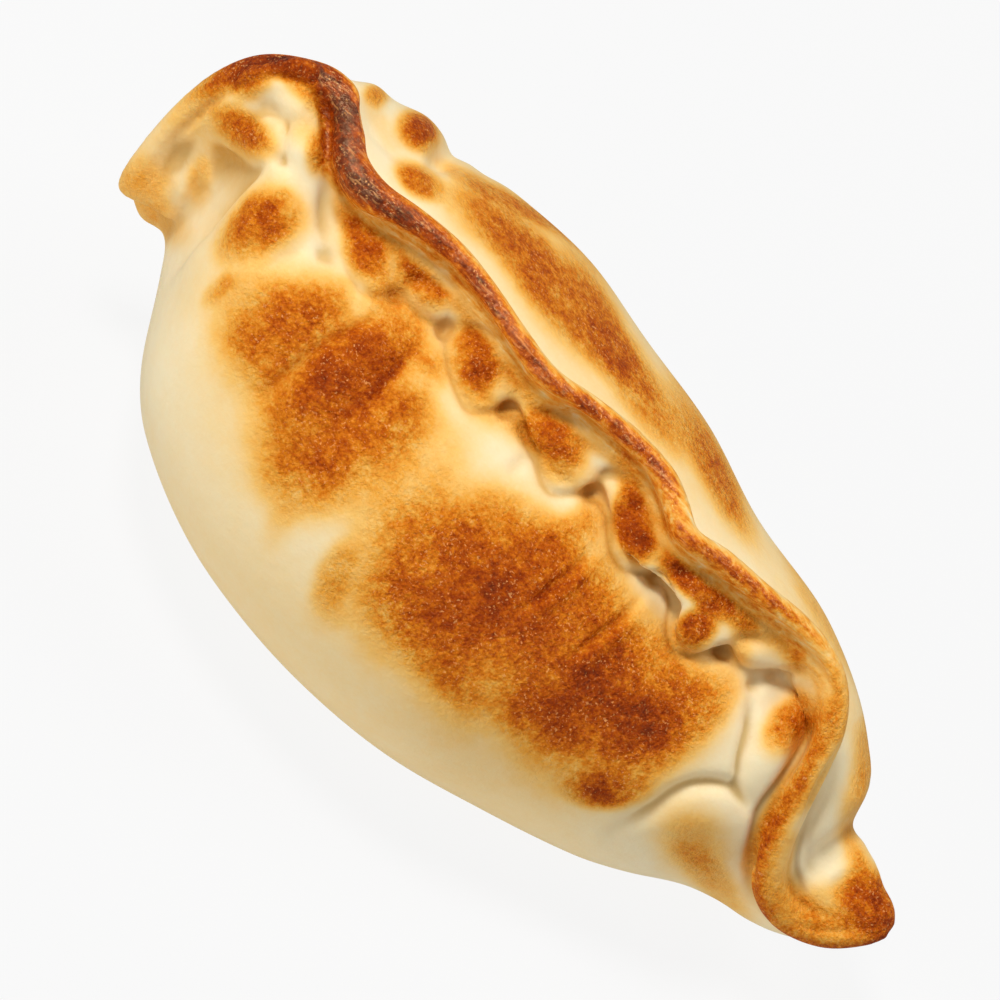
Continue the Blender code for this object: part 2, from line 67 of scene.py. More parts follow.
# How far a surface faces out of the layout plane, as a cosine: shows nothing, shows all
NEAR_RELIEF = (-0.05, 0.3)
FAR_RELIEF = (-0.7, 0.0)
NEAR_BROWNING = (-0.25, 0.05)
BACK_BROWNING = (-0.12, 0.12)

# x, y centre, z centre, half width, half height
BELLY = (
    (-57.0, 0.8, 31.0, 1.8, 13.6), (-54.5, 1.8, 32.4, 3.0, 17.6), (-51.6, 2.8, 33.0, 4.4, 18.0),
    (-48.3, 3.2, 30.5, 11.5, 17.8), (-42.8, 2.4, 26.5, 20.2, 19.0), (-37.3, 1.9, 24.0, 24.4, 20.0),
    (-26.3, 1.2, 22.0, 28.5, 21.3), (-15.2, 0.6, 21.0, 30.3, 21.3), (-4.2, 0.0, 20.0, 29.9, 20.5),
    (6.8, 0.2, 19.1, 28.2, 19.6), (17.8, 0.7, 17.9, 23.9, 18.3), (28.8, 2.3, 17.3, 20.7, 16.5),
    (34.3, 3.1, 17.0, 18.0, 15.0), (39.8, 3.7, 16.8, 14.2, 13.2), (44.0, 3.8, 15.6, 11.7, 11.5),
    (47.1, 2.9, 14.8, 10.0, 9.8), (48.8, 0.9, 13.8, 7.4, 7.3), (50.8, 0.9, 14.2, 7.0, 6.8),
    (55.2, 0.5, 15.2, 4.8, 4.6), (58.4, 0.5, 17.0, 2.6, 2.6), (59.9, 0.5, 17.6, 0.8, 0.8),
)

# x, y, z of the seam's outer edge, edge radius, depth of the fin, half thickness at the back
RIM = (
    (-57.3, -1.0, 19.8, 1.7, 12, 1.8), (-57.8, -0.9, 22.0, 1.8, 13, 1.9), (-58.3, 0.0, 27.0, 1.8, 14, 1.9),
    (-58.4, 1.0, 33.1, 1.8, 14, 1.9), (-57.7, 2.0, 39.4, 1.8, 14, 1.9), (-55.8, 3.0, 44.3, 1.8, 14, 1.9),
    (-52.7, 4.0, 47.1, 1.8, 13, 1.9), (-48.8, 4.5, 49.0, 1.8, 12, 1.9), (-45.2, 2.8, 48.5, 1.9, 12, 2.0),
    (-41.7, -0.6, 47.7, 2.0, 12, 2.2), (-37.3, -1.8, 47.7, 2.0, 12, 2.3), (-31.8, -0.8, 48.0, 1.8, 12, 2.3),
    (-26.3, 0.1, 47.8, 1.6, 12, 2.2), (-20.8, -0.3, 47.3, 1.5, 12, 2.1), (-15.2, -1.4, 46.8, 1.5, 12, 2.1),
    (-9.7, -1.9, 46.2, 1.5, 12, 2.1), (-4.2, -0.2, 45.6, 1.5, 12, 2.1), (1.3, 1.0, 45.1, 1.5, 12, 2.1),
    (6.8, 1.1, 44.5, 1.5, 12, 2.1), (10.1, -0.3, 44.1, 1.5, 12, 2.1), (13.4, -2.1, 43.6, 1.5, 12, 2.1),
    (17.8, -0.4, 42.9, 1.5, 12, 2.1), (23.3, 0.9, 41.9, 1.5, 12, 2.2), (28.8, 2.7, 40.6, 1.5, 12, 2.2),
    (33.7, 3.2, 39.2, 1.5, 11, 2.2), (37.0, 2.3, 37.5, 1.5, 10, 2.0), (39.5, 0.2, 34.9, 1.6, 9, 1.8),
    (41.1, -2.5, 31.3, 1.7, 9, 1.6), (42.6, -5.0, 26.6, 1.8, 8, 1.4), (44.2, -7.0, 22.3, 1.9, 7, 1.3),
    (46.6, -8.0, 18.4, 1.9, 6, 1.3), (50.3, -7.0, 15.9, 1.9, 5, 1.3), (54.7, -4.5, 15.6, 1.9, 4, 1.3),
    (58.0, -1.5, 16.9, 1.6, 3, 1.2), (59.6, 0.0, 17.8, 0.9, 2, 0.8),
)

# x, height on the layout plane and overhang of the scalloped lower edge of the fold
SCALLOPS = (
    (-42.0, 27.4, 2.2), (-39.5, 26.4, 3.0), (-37.3, 24.9, 4.0), (-34.0, 23.2, 5.4), (-31.2, 22.5, 6.0),
    (-29.4, 23.1, 5.6), (-28.3, 25.0, 3.4), (-26.8, 25.2, 4.2), (-24.6, 25.0, 4.7), (-22.6, 25.5, 4.2),
    (-21.5, 26.1, 2.9), (-19.7, 24.2, 4.0), (-17.5, 22.7, 5.0), (-15.2, 21.7, 5.7), (-13.4, 21.4, 5.8),
    (-12.0, 22.3, 5.0), (-10.5, 24.7, 2.9), (-8.6, 24.4, 3.8), (-6.4, 23.1, 4.7), (-4.2, 22.3, 5.3),
    (-2.0, 21.3, 5.9), (-0.4, 21.3, 5.9), (1.2, 22.7, 4.8), (2.5, 24.5, 2.8), (4.2, 24.2, 3.6),
    (5.8, 23.3, 4.4), (7.4, 21.9, 5.0), (9.0, 20.9, 5.3), (11.2, 20.8, 5.2), (12.8, 21.7, 4.4),
    (14.2, 22.7, 3.6), (15.6, 22.5, 4.1), (17.2, 21.5, 5.0), (18.3, 20.1, 5.8), (19.6, 18.7, 6.5),
    (21.1, 18.1, 6.8), (22.7, 18.7, 6.3), (23.8, 20.3, 5.0), (24.8, 21.7, 3.4), (26.2, 21.6, 3.4),
    (27.7, 21.4, 3.6), (29.3, 21.6, 3.4), (30.5, 22.6, 2.8), (33.0, 24.6, 2.0), (35.0, 25.5, 1.6),
)

# Relief lines on the near side: kind, height, half width, then (x, layout height) points.
# A step raises the ground on the left of its path and lowers it on the right.
NEAR_LINES = (
    ("step", 0.35, 0.5, [(x, t) for x, t, _ in SCALLOPS[1:43]]),
    ("groove", 0.5, 0.4, [(x, t - 0.1) for x, t, _ in SCALLOPS[2:42]]),
    # the thin double line under the edge, from the flap to the narrow end
    ("groove", 0.5, 0.5, ((-57.4, 16.0), (-57.6, 20.0), (-57.3, 25.0), (-56.2, 29.0), (-54.4, 32.0),
                           (-51.7, 33.7), (-48.5, 33.8), (-46.4, 32.5), (-44.6, 30.8), (-42.9, 29.3),
                           (-40.6, 28.1), (-37.3, 27.9), (-32.9, 29.5), (-29.6, 30.3), (-26.3, 30.5),
                           (-21.9, 30.2), (-15.2, 28.6), (-10.8, 27.7), (-6.4, 28.4), (-2.0, 29.2),
                           (2.4, 29.3), (4.6, 29.2), (7.9, 27.9), (10.1, 26.8), (11.7, 26.0),
                           (14.5, 26.0), (17.8, 26.2), (21.1, 26.8), (24.4, 27.3), (28.8, 27.7),
                           (32.1, 27.7), (34.3, 27.3), (36.5, 26.4), (39.2, 24.6))),
    ("groove", 0.35, 0.35, ((-38.0, 26.6), (-33.5, 28.2), (-29.6, 29.2), (-25.5, 29.5), (-21.0, 28.8))),
    ("groove", 0.35, 0.35, ((2.4, 28.3), (5.0, 28.1), (8.2, 26.9), (11.0, 25.2), (14.5, 25.1),
                            (18.5, 25.4), (23.0, 26.1), (28.0, 26.7), (32.5, 26.7))),
    # folds running up from each pit to the edge
    ("groove", 0.8, 0.75, ((-10.5, 24.4), (-8.5, 25.8), (-6.0, 27.3), (-3.4, 28.5), (-0.9, 29.2))),
    ("groove", 0.7, 0.8, ((2.4, 24.6), (2.0, 25.9), (3.2, 27.0), (5.2, 27.8))),
    ("groove", 0.7, 0.8, ((-21.4, 25.8), (-20.6, 27.0), (-18.5, 27.8), (-15.5, 28.3))),
    ("groove", 0.6, 0.7, ((14.2, 22.8), (15.2, 24.1), (17.0, 25.2))),
    ("groove", 0.8, 0.8, ((24.9, 21.9), (25.4, 23.4), (26.6, 24.8), (28.6, 26.2))),
    ("groove", 0.7, 0.8, ((-28.1, 25.2), (-28.0, 26.6), (-26.0, 28.1), (-22.6, 29.2))),
    ("groove", 0.6, 0.8, ((-42.8, 28.8), (-41.7, 27.4), (-39.7, 25.0), (-37.3, 23.1), (-36.0, 22.3))),
    # pleats running down the belly
    ("groove", 0.8, 0.45, ((7.0, 20.9), (6.9, 18.0), (6.7, 15.2), (6.2, 11.4), (5.6, 7.0))),
    ("ridge", 0.5, 0.8, ((8.2, 20.9), (8.1, 18.0), (7.9, 15.2), (7.4, 11.4), (6.8, 7.0))),
    ("groove", 0.8, 0.45, ((14.1, 21.0), (14.3, 17.4), (14.0, 14.1), (13.6, 11.4), (13.2, 7.0))),
    ("ridge", 0.5, 0.8, ((15.3, 21.0), (15.5, 17.4), (15.2, 14.1), (14.8, 11.4), (14.4, 7.0))),
    ("groove", 0.5, 0.4, ((-27.4, 24.0), (-28.6, 20.0), (-30.0, 15.0), (-30.9, 9.5), (-31.4, 5.0))),
    ("groove", 0.45, 0.4, ((-22.8, 23.4), (-22.5, 19.0), (-22.2, 15.0), (-22.0, 11.0))),
    ("groove", 0.5, 0.5, ((-44.6, 24.6), (-44.4, 21.5), (-44.6, 18.0))),
    ("groove", 0.55, 1.3, ((-28.1, 24.9), (-28.2, 22.5), (-29.6, 18.6), (-30.6, 14.0), (-30.8, 8.0),
                           (-30.0, 2.0))),
    ("groove", 0.40, 1.3, ((-21.9, 25.7), (-22.7, 20.7), (-23.0, 16.3), (-22.6, 9.0), (-22.0, 3.0))),
    ("groove", 0.3, 0.8, ((-5.9, 22.4), (-5.3, 18.5))),
    ("ridge", 0.6, 2.0, ((-25.4, 24.0), (-26.2, 18.0), (-26.6, 11.0), (-26.0, 3.0))),
    ("ridge", 0.5, 2.4, ((-33.5, 22.0), (-35.0, 16.0), (-35.0, 9.0), (-34.0, 2.0))),
    ("ridge", 0.4, 2.0, ((-19.0, 22.5), (-19.5, 17.0), (-18.5, 10.0), (-17.5, 3.0))),
    ("step", 0.45, 1.0, ((-39.6, 24.0), (-40.2, 21.6), (-41.0, 18.1), (-42.2, 13.5), (-42.6, 8.5))),
    ("groove", 0.7, 1.2, ((-38.4, 23.6), (-39.2, 20.9), (-40.2, 17.6), (-40.6, 13.5))),
    ("ridge", 0.8, 2.2, ((-43.6, 26.0), (-44.4, 21.0), (-44.6, 14.0))),
    ("step", 1.0, 0.6, ((-47.3, 27.0), (-47.9, 24.6), (-48.1, 20.7), (-47.7, 16.3), (-47.2, 11.0),
                        (-46.6, 6.5))),
    ("groove", 1.0, 1.6, ((-48.9, 25.0), (-49.2, 20.7), (-48.9, 16.3), (-48.3, 11.9))),
    # panels of dough at the narrow end
    ("groove", 1.0, 0.7, ((29.8, 21.9), (31.5, 19.1), (33.2, 16.9), (34.8, 14.1), (36.7, 11.9),
                          (38.7, 10.8), (40.9, 10.3))),
    ("groove", 1.1, 1.0, ((41.3, 10.6), (37.6, 11.3), (35.4, 10.9), (33.2, 8.9), (32.1, 6.4),
                          (31.5, 3.1), (30.4, -0.2), (29.8, -3.5))),
    ("ridge", 0.5, 1.9, ((43.0, 7.6), (39.6, 8.4), (36.6, 7.6), (35.4, 5.6), (34.8, 2.6), (34.4, -0.5))),
    ("ridge", 1.7, 2.0, ((34.6, 27.0), (35.0, 24.5), (35.4, 21.5), (36.2, 18.0), (37.8, 14.5),
                         (39.6, 11.8))),
    ("groove", 0.6, 0.7, ((33.4, 27.0), (31.4, 24.2), (29.8, 21.9))),
    ("groove", 0.8, 0.6, ((38.0, 23.5), (38.5, 20.2), (39.1, 16.0), (39.8, 13.0), (40.7, 10.6),
                          (42.0, 8.4), (43.7, 6.4), (45.9, 4.5), (48.1, 3.5))),
    ("groove", 0.6, 0.45, ((40.6, 25.2), (41.7, 22.6), (42.4, 19.9), (43.3, 17.1), (44.7, 14.4),
                           (46.3, 11.6), (48.1, 9.5), (50.4, 8.6), (52.3, 9.0))),
    ("groove", 0.5, 0.7, ((42.4, 23.2), (42.9, 21.7), (43.8, 18.5), (44.9, 15.7), (46.3, 13.0),
                          (47.9, 11.4), (50.0, 10.7), (51.6, 10.9))),
    ("groove", 0.5, 0.5, ((50.4, 4.7), (53.0, 6.0), (55.2, 7.6), (57.4, 9.9), (58.6, 11.6))),
    ("ridge", 0.7, 1.1, ((49.9, 16.3), (52.0, 15.8), (54.2, 14.9), (57.0, 13.2))),
    ("groove", 0.7, 1.5, ((50.5, 12.8), (53.0, 12.2), (55.0, 11.4))),
    # the flap at the wide end
    ("step", 0.9, 0.6, ((-54.8, 23.9), (-53.4, 23.5), (-51.6, 23.5), (-49.6, 24.0), (-48.3, 25.1),
                        (-47.7, 26.3))),
    ("step", 0.7, 0.6, ((-47.5, 26.6), (-49.4, 28.6), (-51.6, 29.0), (-54.0, 27.8))),
    ("groove", 0.9, 0.7, ((-46.0, 26.4), (-48.2, 27.4), (-49.6, 29.0), (-49.8, 31.0))),
    ("ridge", 0.8, 1.1, ((-53.9, 20.4), (-53.4, 17.6), (-52.6, 14.0))),
    ("ridge", 0.5, 0.7, ((-54.3, 20.5), (-52.6, 19.6), (-51.2, 18.0))),
)

# Swellings and dents on the near side: x, layout height, two radii, turn in degrees, height.
NEAR_SPOTS = (
    (-28.0, 24.6, 1.0, 1.0, 0, -1.1), (-21.4, 25.6, 0.9, 1.0, 0, -1.2), (-10.5, 24.2, 0.9, 1.0, 0, -1.2),
    (2.6, 24.0, 1.0, 1.0, 0, -1.1), (14.3, 22.2, 0.9, 0.9, 0, -0.9), (24.9, 21.4, 1.0, 0.9, 0, -1.0),
    (30.0, 21.3, 0.9, 0.9, 0, -0.8), (-36.7, 22.2, 1.2, 1.0, 0, -0.7),
    # the plump fronts of the folds
    (-33.2, 25.6, 3.0, 1.9, -20, 1.1), (-25.4, 27.2, 2.1, 1.3, 0, 0.7), (-16.0, 25.1, 2.9, 1.9, -25, 1.1),
    (-3.6, 24.9, 3.4, 1.9, -15, 1.0), (8.6, 24.2, 2.8, 1.9, -25, 1.0), (18.4, 24.2, 2.8, 1.5, -15, 0.6),
    (21.2, 21.0, 1.7, 1.9, 0, 0.8), (27.6, 23.6, 2.2, 1.5, 20, 0.5),
    # the pocket and the swellings of the panels at the narrow end
    (49.4, 13.2, 2.6, 2.2, 0, -0.7), (39.5, 5.0, 4.6, 3.4, -10, 0.5), (47.0, 20.0, 1.8, 1.8, 0, 0.5),
    # the flap
    (-51.8, 25.9, 3.2, 1.9, 12, 1.5), (-47.2, 26.3, 1.0, 0.8, 0, -1.1), (-51.2, 31.2, 2.2, 1.3, 0, 0.7),
    (-46.2, 29.0, 2.0, 1.8, -20, 1.1), (-55.7, 30.8, 1.6, 1.6, 0, 0.5), (-56.0, 18.6, 1.4, 3.0, 0, -1.1),
)

FAR_LINES = (
    ("groove", 0.9, 1.0, ((-47.7, 37.8), (-43.9, 36.4), (-39.5, 36.1), (-36.2, 36.9), (-33.6, 38.6))),
    ("groove", 1.1, 1.3, ((-36.8, 37.3), (-34.8, 39.2), (-33.6, 41.0))),
)
FAR_SPOTS = (
    (-39.0, 39.0, 2.6, 1.8, 0, 1.3), (-45.5, 38.6, 2.0, 1.6, 0, 0.8), (-35.6, 35.4, 1.8, 1.1, 0, 0.5),
    (-34.4, 40.2, 1.6, 2.0, 0, -1.0), (-31.2, 41.2, 2.6, 2.0, 0, -0.6), (-16.0, 42.2, 8.0, 2.6, 0, 0.4),
)


def spline(rows, step, keys=3):
    """Rows of numbers joined by a smooth curve, evenly spaced along their first columns"""
    rows = np.array(rows, float)
    along = np.concatenate([[0.0], np.cumsum(np.linalg.norm(np.diff(rows[:, :keys], axis=0), axis=1))])
    slope = np.empty_like(rows)
    slope[1:-1] = (rows[2:] - rows[:-2]) / (along[2:] - along[:-2])[:, None]
    slope[0] = (rows[1] - rows[0]) / (along[1] - along[0])
    slope[-1] = (rows[-1] - rows[-2]) / (along[-1] - along[-2])
    at = np.linspace(0.0, along[-1], int(along[-1] / step) + 2)
    k = np.clip(np.searchsorted(along, at, side="right") - 1, 0, len(along) - 2)
    gap = (along[k + 1] - along[k])[:, None]
    f = (at - along[k])[:, None] / gap
    return ((2 * f**3 - 3 * f**2 + 1) * rows[k] + (f**3 - 2 * f**2 + f) * gap * slope[k]
            + (3 * f**2 - 2 * f**3) * rows[k + 1] + (f**3 - f**2) * gap * slope[k + 1])


def tube(rings):
    """Closed skin over a run of rings that all have the same number of points"""
    count, sides = rings.shape[:2]
    corners = np.arange(count * sides).reshape(count, sides)
    here, after = corners[:-1], corners[1:]
    quads = np.stack([here, np.roll(here, -1, 1), np.roll(after, -1, 1), after], -1).reshape(-1, 4)
    first, last = count * sides, count * sides + 1
    ends = [(first, int(b), int(a)) for a, b in zip(corners[0], np.roll(corners[0], -1))]
    ends += [(last, int(a), int(b)) for a, b in zip(corners[-1], np.roll(corners[-1], -1))]
    points = np.vstack([rings.reshape(-1, 3), rings[0].mean(0), rings[-1].mean(0)])
    return points, [tuple(int(c) for c in q) for q in quads] + ends


def belly():
    """The filled body: rounded sections, flattened where they meet the table"""
    rows = spline(BELLY, BELLY_STEP)
    turn = np.linspace(0.0, 2.0 * math.pi, BELLY_SIDES, endpoint=False)
    c, s = np.cos(turn), np.sin(turn)
    power = 2.0 / ROUNDNESS
    across = np.sign(c) * np.abs(c) ** power
    up = np.sign(s) * np.abs(s) ** power
    x, y, z, wide, high = rows.T[:, :, None]
    rings = np.stack([x + 0 * across, y + wide * across, np.maximum(z + high * up, 0.0)], -1)
    return tube(rings)


def rim_frames():
    """Points along the seam edge with their outward and near-side directions"""
    rows = spline(RIM, RIM_STEP)
    centre = rows[:, :3]
    along = np.gradient(centre, axis=0)
    along /= np.linalg.norm(along, axis=1)[:, None]
    shape = np.array(BELLY)
    core_x = np.clip(centre[:, 0], *FILLED)
    core = np.stack([core_x, np.interp(core_x, shape[:, 0], shape[:, 1]),
                     np.interp(core_x, shape[:, 0], shape[:, 2])], -1)
    core[:, 2] = np.minimum(core[:, 2], centre[:, 2])
    out = centre - core
    out -= along * (out * along).sum(1)[:, None]
    out /= np.linalg.norm(out, axis=1)[:, None]
    return rows, centre, out, np.cross(along, out)


def section(radius, bulge, drop, deep, back):
    """Outline across the seam, as near-side and inward distances from the centre of its edge"""
    neck, waist = 0.9 * radius, 1.7 * radius
    swell, hang = bulge - neck, drop - waist
    angles = np.radians(range(0, 111, 22))
    roll = [(radius * math.sin(a), -radius * math.cos(a)) for a in angles]
    front = [(neck, 1.5 * radius), (neck + 0.45 * swell, waist + 0.3 * hang),
             (neck + 0.85 * swell, waist + 0.6 * hang), (bulge, waist + 0.85 * hang)]
    under = [(0.94 * bulge, drop), (0.7 * bulge, drop + 0.5), (1.0, drop + 1.2), (0.8, deep)]
    rear = [(-back - 1.2, deep), (-back - 0.5, 0.65 * deep), (-back, 0.35 * deep),
            (-0.95 * radius, 1.5 * radius)]
    return np.array(roll + front + under + rear + [(-side, inward) for side, inward in roll[:0:-1]])


def seam():
    """The folded edge: a rolled rim over a scalloped fold, standing in the crest of the belly"""
    rows, centre, out, near = rim_frames()
    table = np.array(SCALLOPS)
    crest = (centre[:, 0] > table[0, 0]) & (centre[:, 0] < table[-1, 0])
    rings = []
    for k in range(len(rows)):
        radius, deep, back = rows[k, 3:6]
        bulge, drop = PLAIN_BULGE * radius, PLAIN_DROP * radius
        if crest[k]:
            height = np.interp(centre[k, 0], table[:, 0], table[:, 1]) + LIP
            bulge = max(bulge, np.interp(centre[k, 0], table[:, 0], table[:, 2]))
            drop = (centre[k] @ UP_PLANE + bulge * (near[k] @ UP_PLANE) - height) / (out[k] @ UP_PLANE)
            drop = min(max(drop, LEAST_DROP * radius), deep - FIN_LEFT)
        offsets = section(radius, bulge, drop, deep, back)
        rings.append(centre[k] + offsets[:, :1] * near[k] - offsets[:, 1:] * out[k])
    return tube(np.array(rings))


def evaluated(points, faces, settings):
    """A mesh after a run of modifiers, as points and faces"""
    mesh = bpy.data.meshes.new("work")
    mesh.from_pydata([tuple(p) for p in points], [], faces)
    work = bpy.data.objects.new("work", mesh)
    bpy.context.scene.collection.objects.link(work)
    for kind, values in settings:
        modifier = work.modifiers.new(kind.lower(), kind)
        for key, value in values.items():
            setattr(modifier, key, value)
    graph = bpy.context.evaluated_depsgraph_get()
    result = bpy.data.meshes.new_from_object(work.evaluated_get(graph))
    bpy.data.objects.remove(work)
    bpy.data.meshes.remove(mesh)
    return result


def coordinates(mesh):
    flat = np.empty(len(mesh.vertices) * 3)
    mesh.vertices.foreach_get("co", flat)
    return flat.reshape(-1, 3)


def normals(mesh):
    flat = np.empty(len(mesh.vertices) * 3)
    mesh.vertices.foreach_get("normal", flat)
    return flat.reshape(-1, 3)


def smoothstep(low, high, value):
    f = np.clip((value - low) / (high - low), 0.0, 1.0)
    return f * f * (3.0 - 2.0 * f)


def line_relief(spots, kind, height, width, path):
    """Height added at each spot of the layout plane by one line"""
    path = spline(path, LINE_STEP, keys=2)
    reach = 6.0 * width + 3.0
    inside = np.all((spots > path.min(0) - reach) & (spots < path.max(0) + reach), axis=1)
    near = spots[inside]
    gap, side = np.full(len(near), 1e9), np.zeros(len(near))
    along, length = np.zeros(len(near)), 0.0
    for start, end in zip(path[:-1], path[1:]):
        run = end - start
        size = math.hypot(*run)
        away = near - start
        f = np.clip(away @ run / size**2, 0.0, 1.0)
        off = np.hypot(*(away - f[:, None] * run).T)
        closer = off < gap
        gap[closer] = off[closer]
        side[closer] = np.sign(run[0] * away[:, 1] - run[1] * away[:, 0])[closer]
        along[closer] = (length + f * size)[closer]
        length += size
    fade = smoothstep(0.0, min(LINE_FADE, 0.45 * length), np.minimum(along, length - along))
    if kind == "step":
        shape = np.tanh(side * gap / width) * np.exp(-gap / STEP_FALL)
    else:
        shape = np.exp(-(gap / width) ** 2) * (1.0 if kind == "ridge" else -1.0)
    result = np.zeros(len(spots))
    result[inside] = height * shape * fade
    return result


def spot_relief(spots, x, t, long, short, turn, height):
    """Height added by one round swelling or dent"""
    c, s = math.cos(math.radians(turn)), math.sin(math.radians(turn))
    dx, dt = spots[:, 0] - x, spots[:, 1] - t
    return height * np.exp(-((c * dx + s * dt) / long) ** 2 - ((c * dt - s * dx) / short) ** 2)


def sides(points):
    """How far each point belongs to the near side and to the far side of the seam, from 0 to 1"""
    crest = [row[:3] for row in RIM if CREST[0] < row[0] < CREST[1] and row[2] > CREST_HEIGHT]
    edge = spline(crest, EDGE_STEP)
    behind = points[:, 1] - np.interp(points[:, 0], edge[:, 0], edge[:, 1])
    past_crest = points[:, 0] > CREST[1] - 1.0
    behind[past_crest] = BEHIND[0]
    far = smoothstep(*BEHIND, behind)
    return 1.0 - far, far


def on_layout(points, directions):
    """Each point's place on the layout plane, and how far its surface faces out of that plane"""
    return np.stack([points[:, 0], points @ UP_PLANE], -1), directions @ OUT_PLANE


def carve(points, directions):
    """Points moved along their normals by the relief drawn on the layout plane"""
    spots, facing = on_layout(points, directions)
    near, far = sides(points)
    near = near * smoothstep(*NEAR_RELIEF, facing)
    far = far * smoothstep(*FAR_RELIEF, facing)
    move = np.zeros(len(points))
    for lines, blobs, shown in ((NEAR_LINES, NEAR_SPOTS, near), (FAR_LINES, FAR_SPOTS, far)):
        total = sum(line_relief(spots, *line) for line in lines)
        total = total + sum(spot_relief(spots, *spot) for spot in blobs)
        move += shown * total
    return points + directions * move[:, None]


def shape_mesh(voxel, smoothing, faces):
    """The whole turnover as one closed mesh of about the given number of triangles, in millimetres"""
    body_points, body_faces = belly()
    seam_points, seam_faces = seam()
    shift = len(body_points)
    faces_in = body_faces + [tuple(c + shift for c in f) for f in seam_faces]
    mesh = evaluated(np.vstack([body_points, seam_points]), faces_in, (
        ("REMESH", {"mode": "VOXEL", "voxel_size": voxel}),
        ("SMOOTH", {"factor": 0.5, "iterations": smoothing})))
    points = carve(coordinates(mesh), normals(mesh))
    polygons = [tuple(p.vertices) for p in mesh.polygons]
    triangles = 2 * len(polygons)
    bpy.data.meshes.remove(mesh)
    mesh = evaluated(points, polygons, (("SMOOTH", {"factor": 0.5, "iterations": SOFTENING}),))
    points = coordinates(mesh)
    points[:, 2] = np.maximum(points[:, 2] - FLAT, 0.0)
    bpy.data.meshes.remove(mesh)
    mesh = evaluated(points, polygons, (
        ("TRIANGULATE", {}),
        ("DECIMATE", {"ratio": min(1.0, faces / triangles)})))
    points = coordinates(mesh)
    points[points[:, 2] < BOTTOM, 2] = 0.0
    low, high = points.min(0), points.max(0)
    middle = np.array([(low[0] + high[0]) / 2.0, (low[1] + high[1]) / 2.0, 0.0])
    scale = LENGTH / (high[0] - low[0])
    mesh.vertices.foreach_set("co", ((points - middle) * scale * MM).ravel())
    mesh.update()
    return mesh, middle, scale


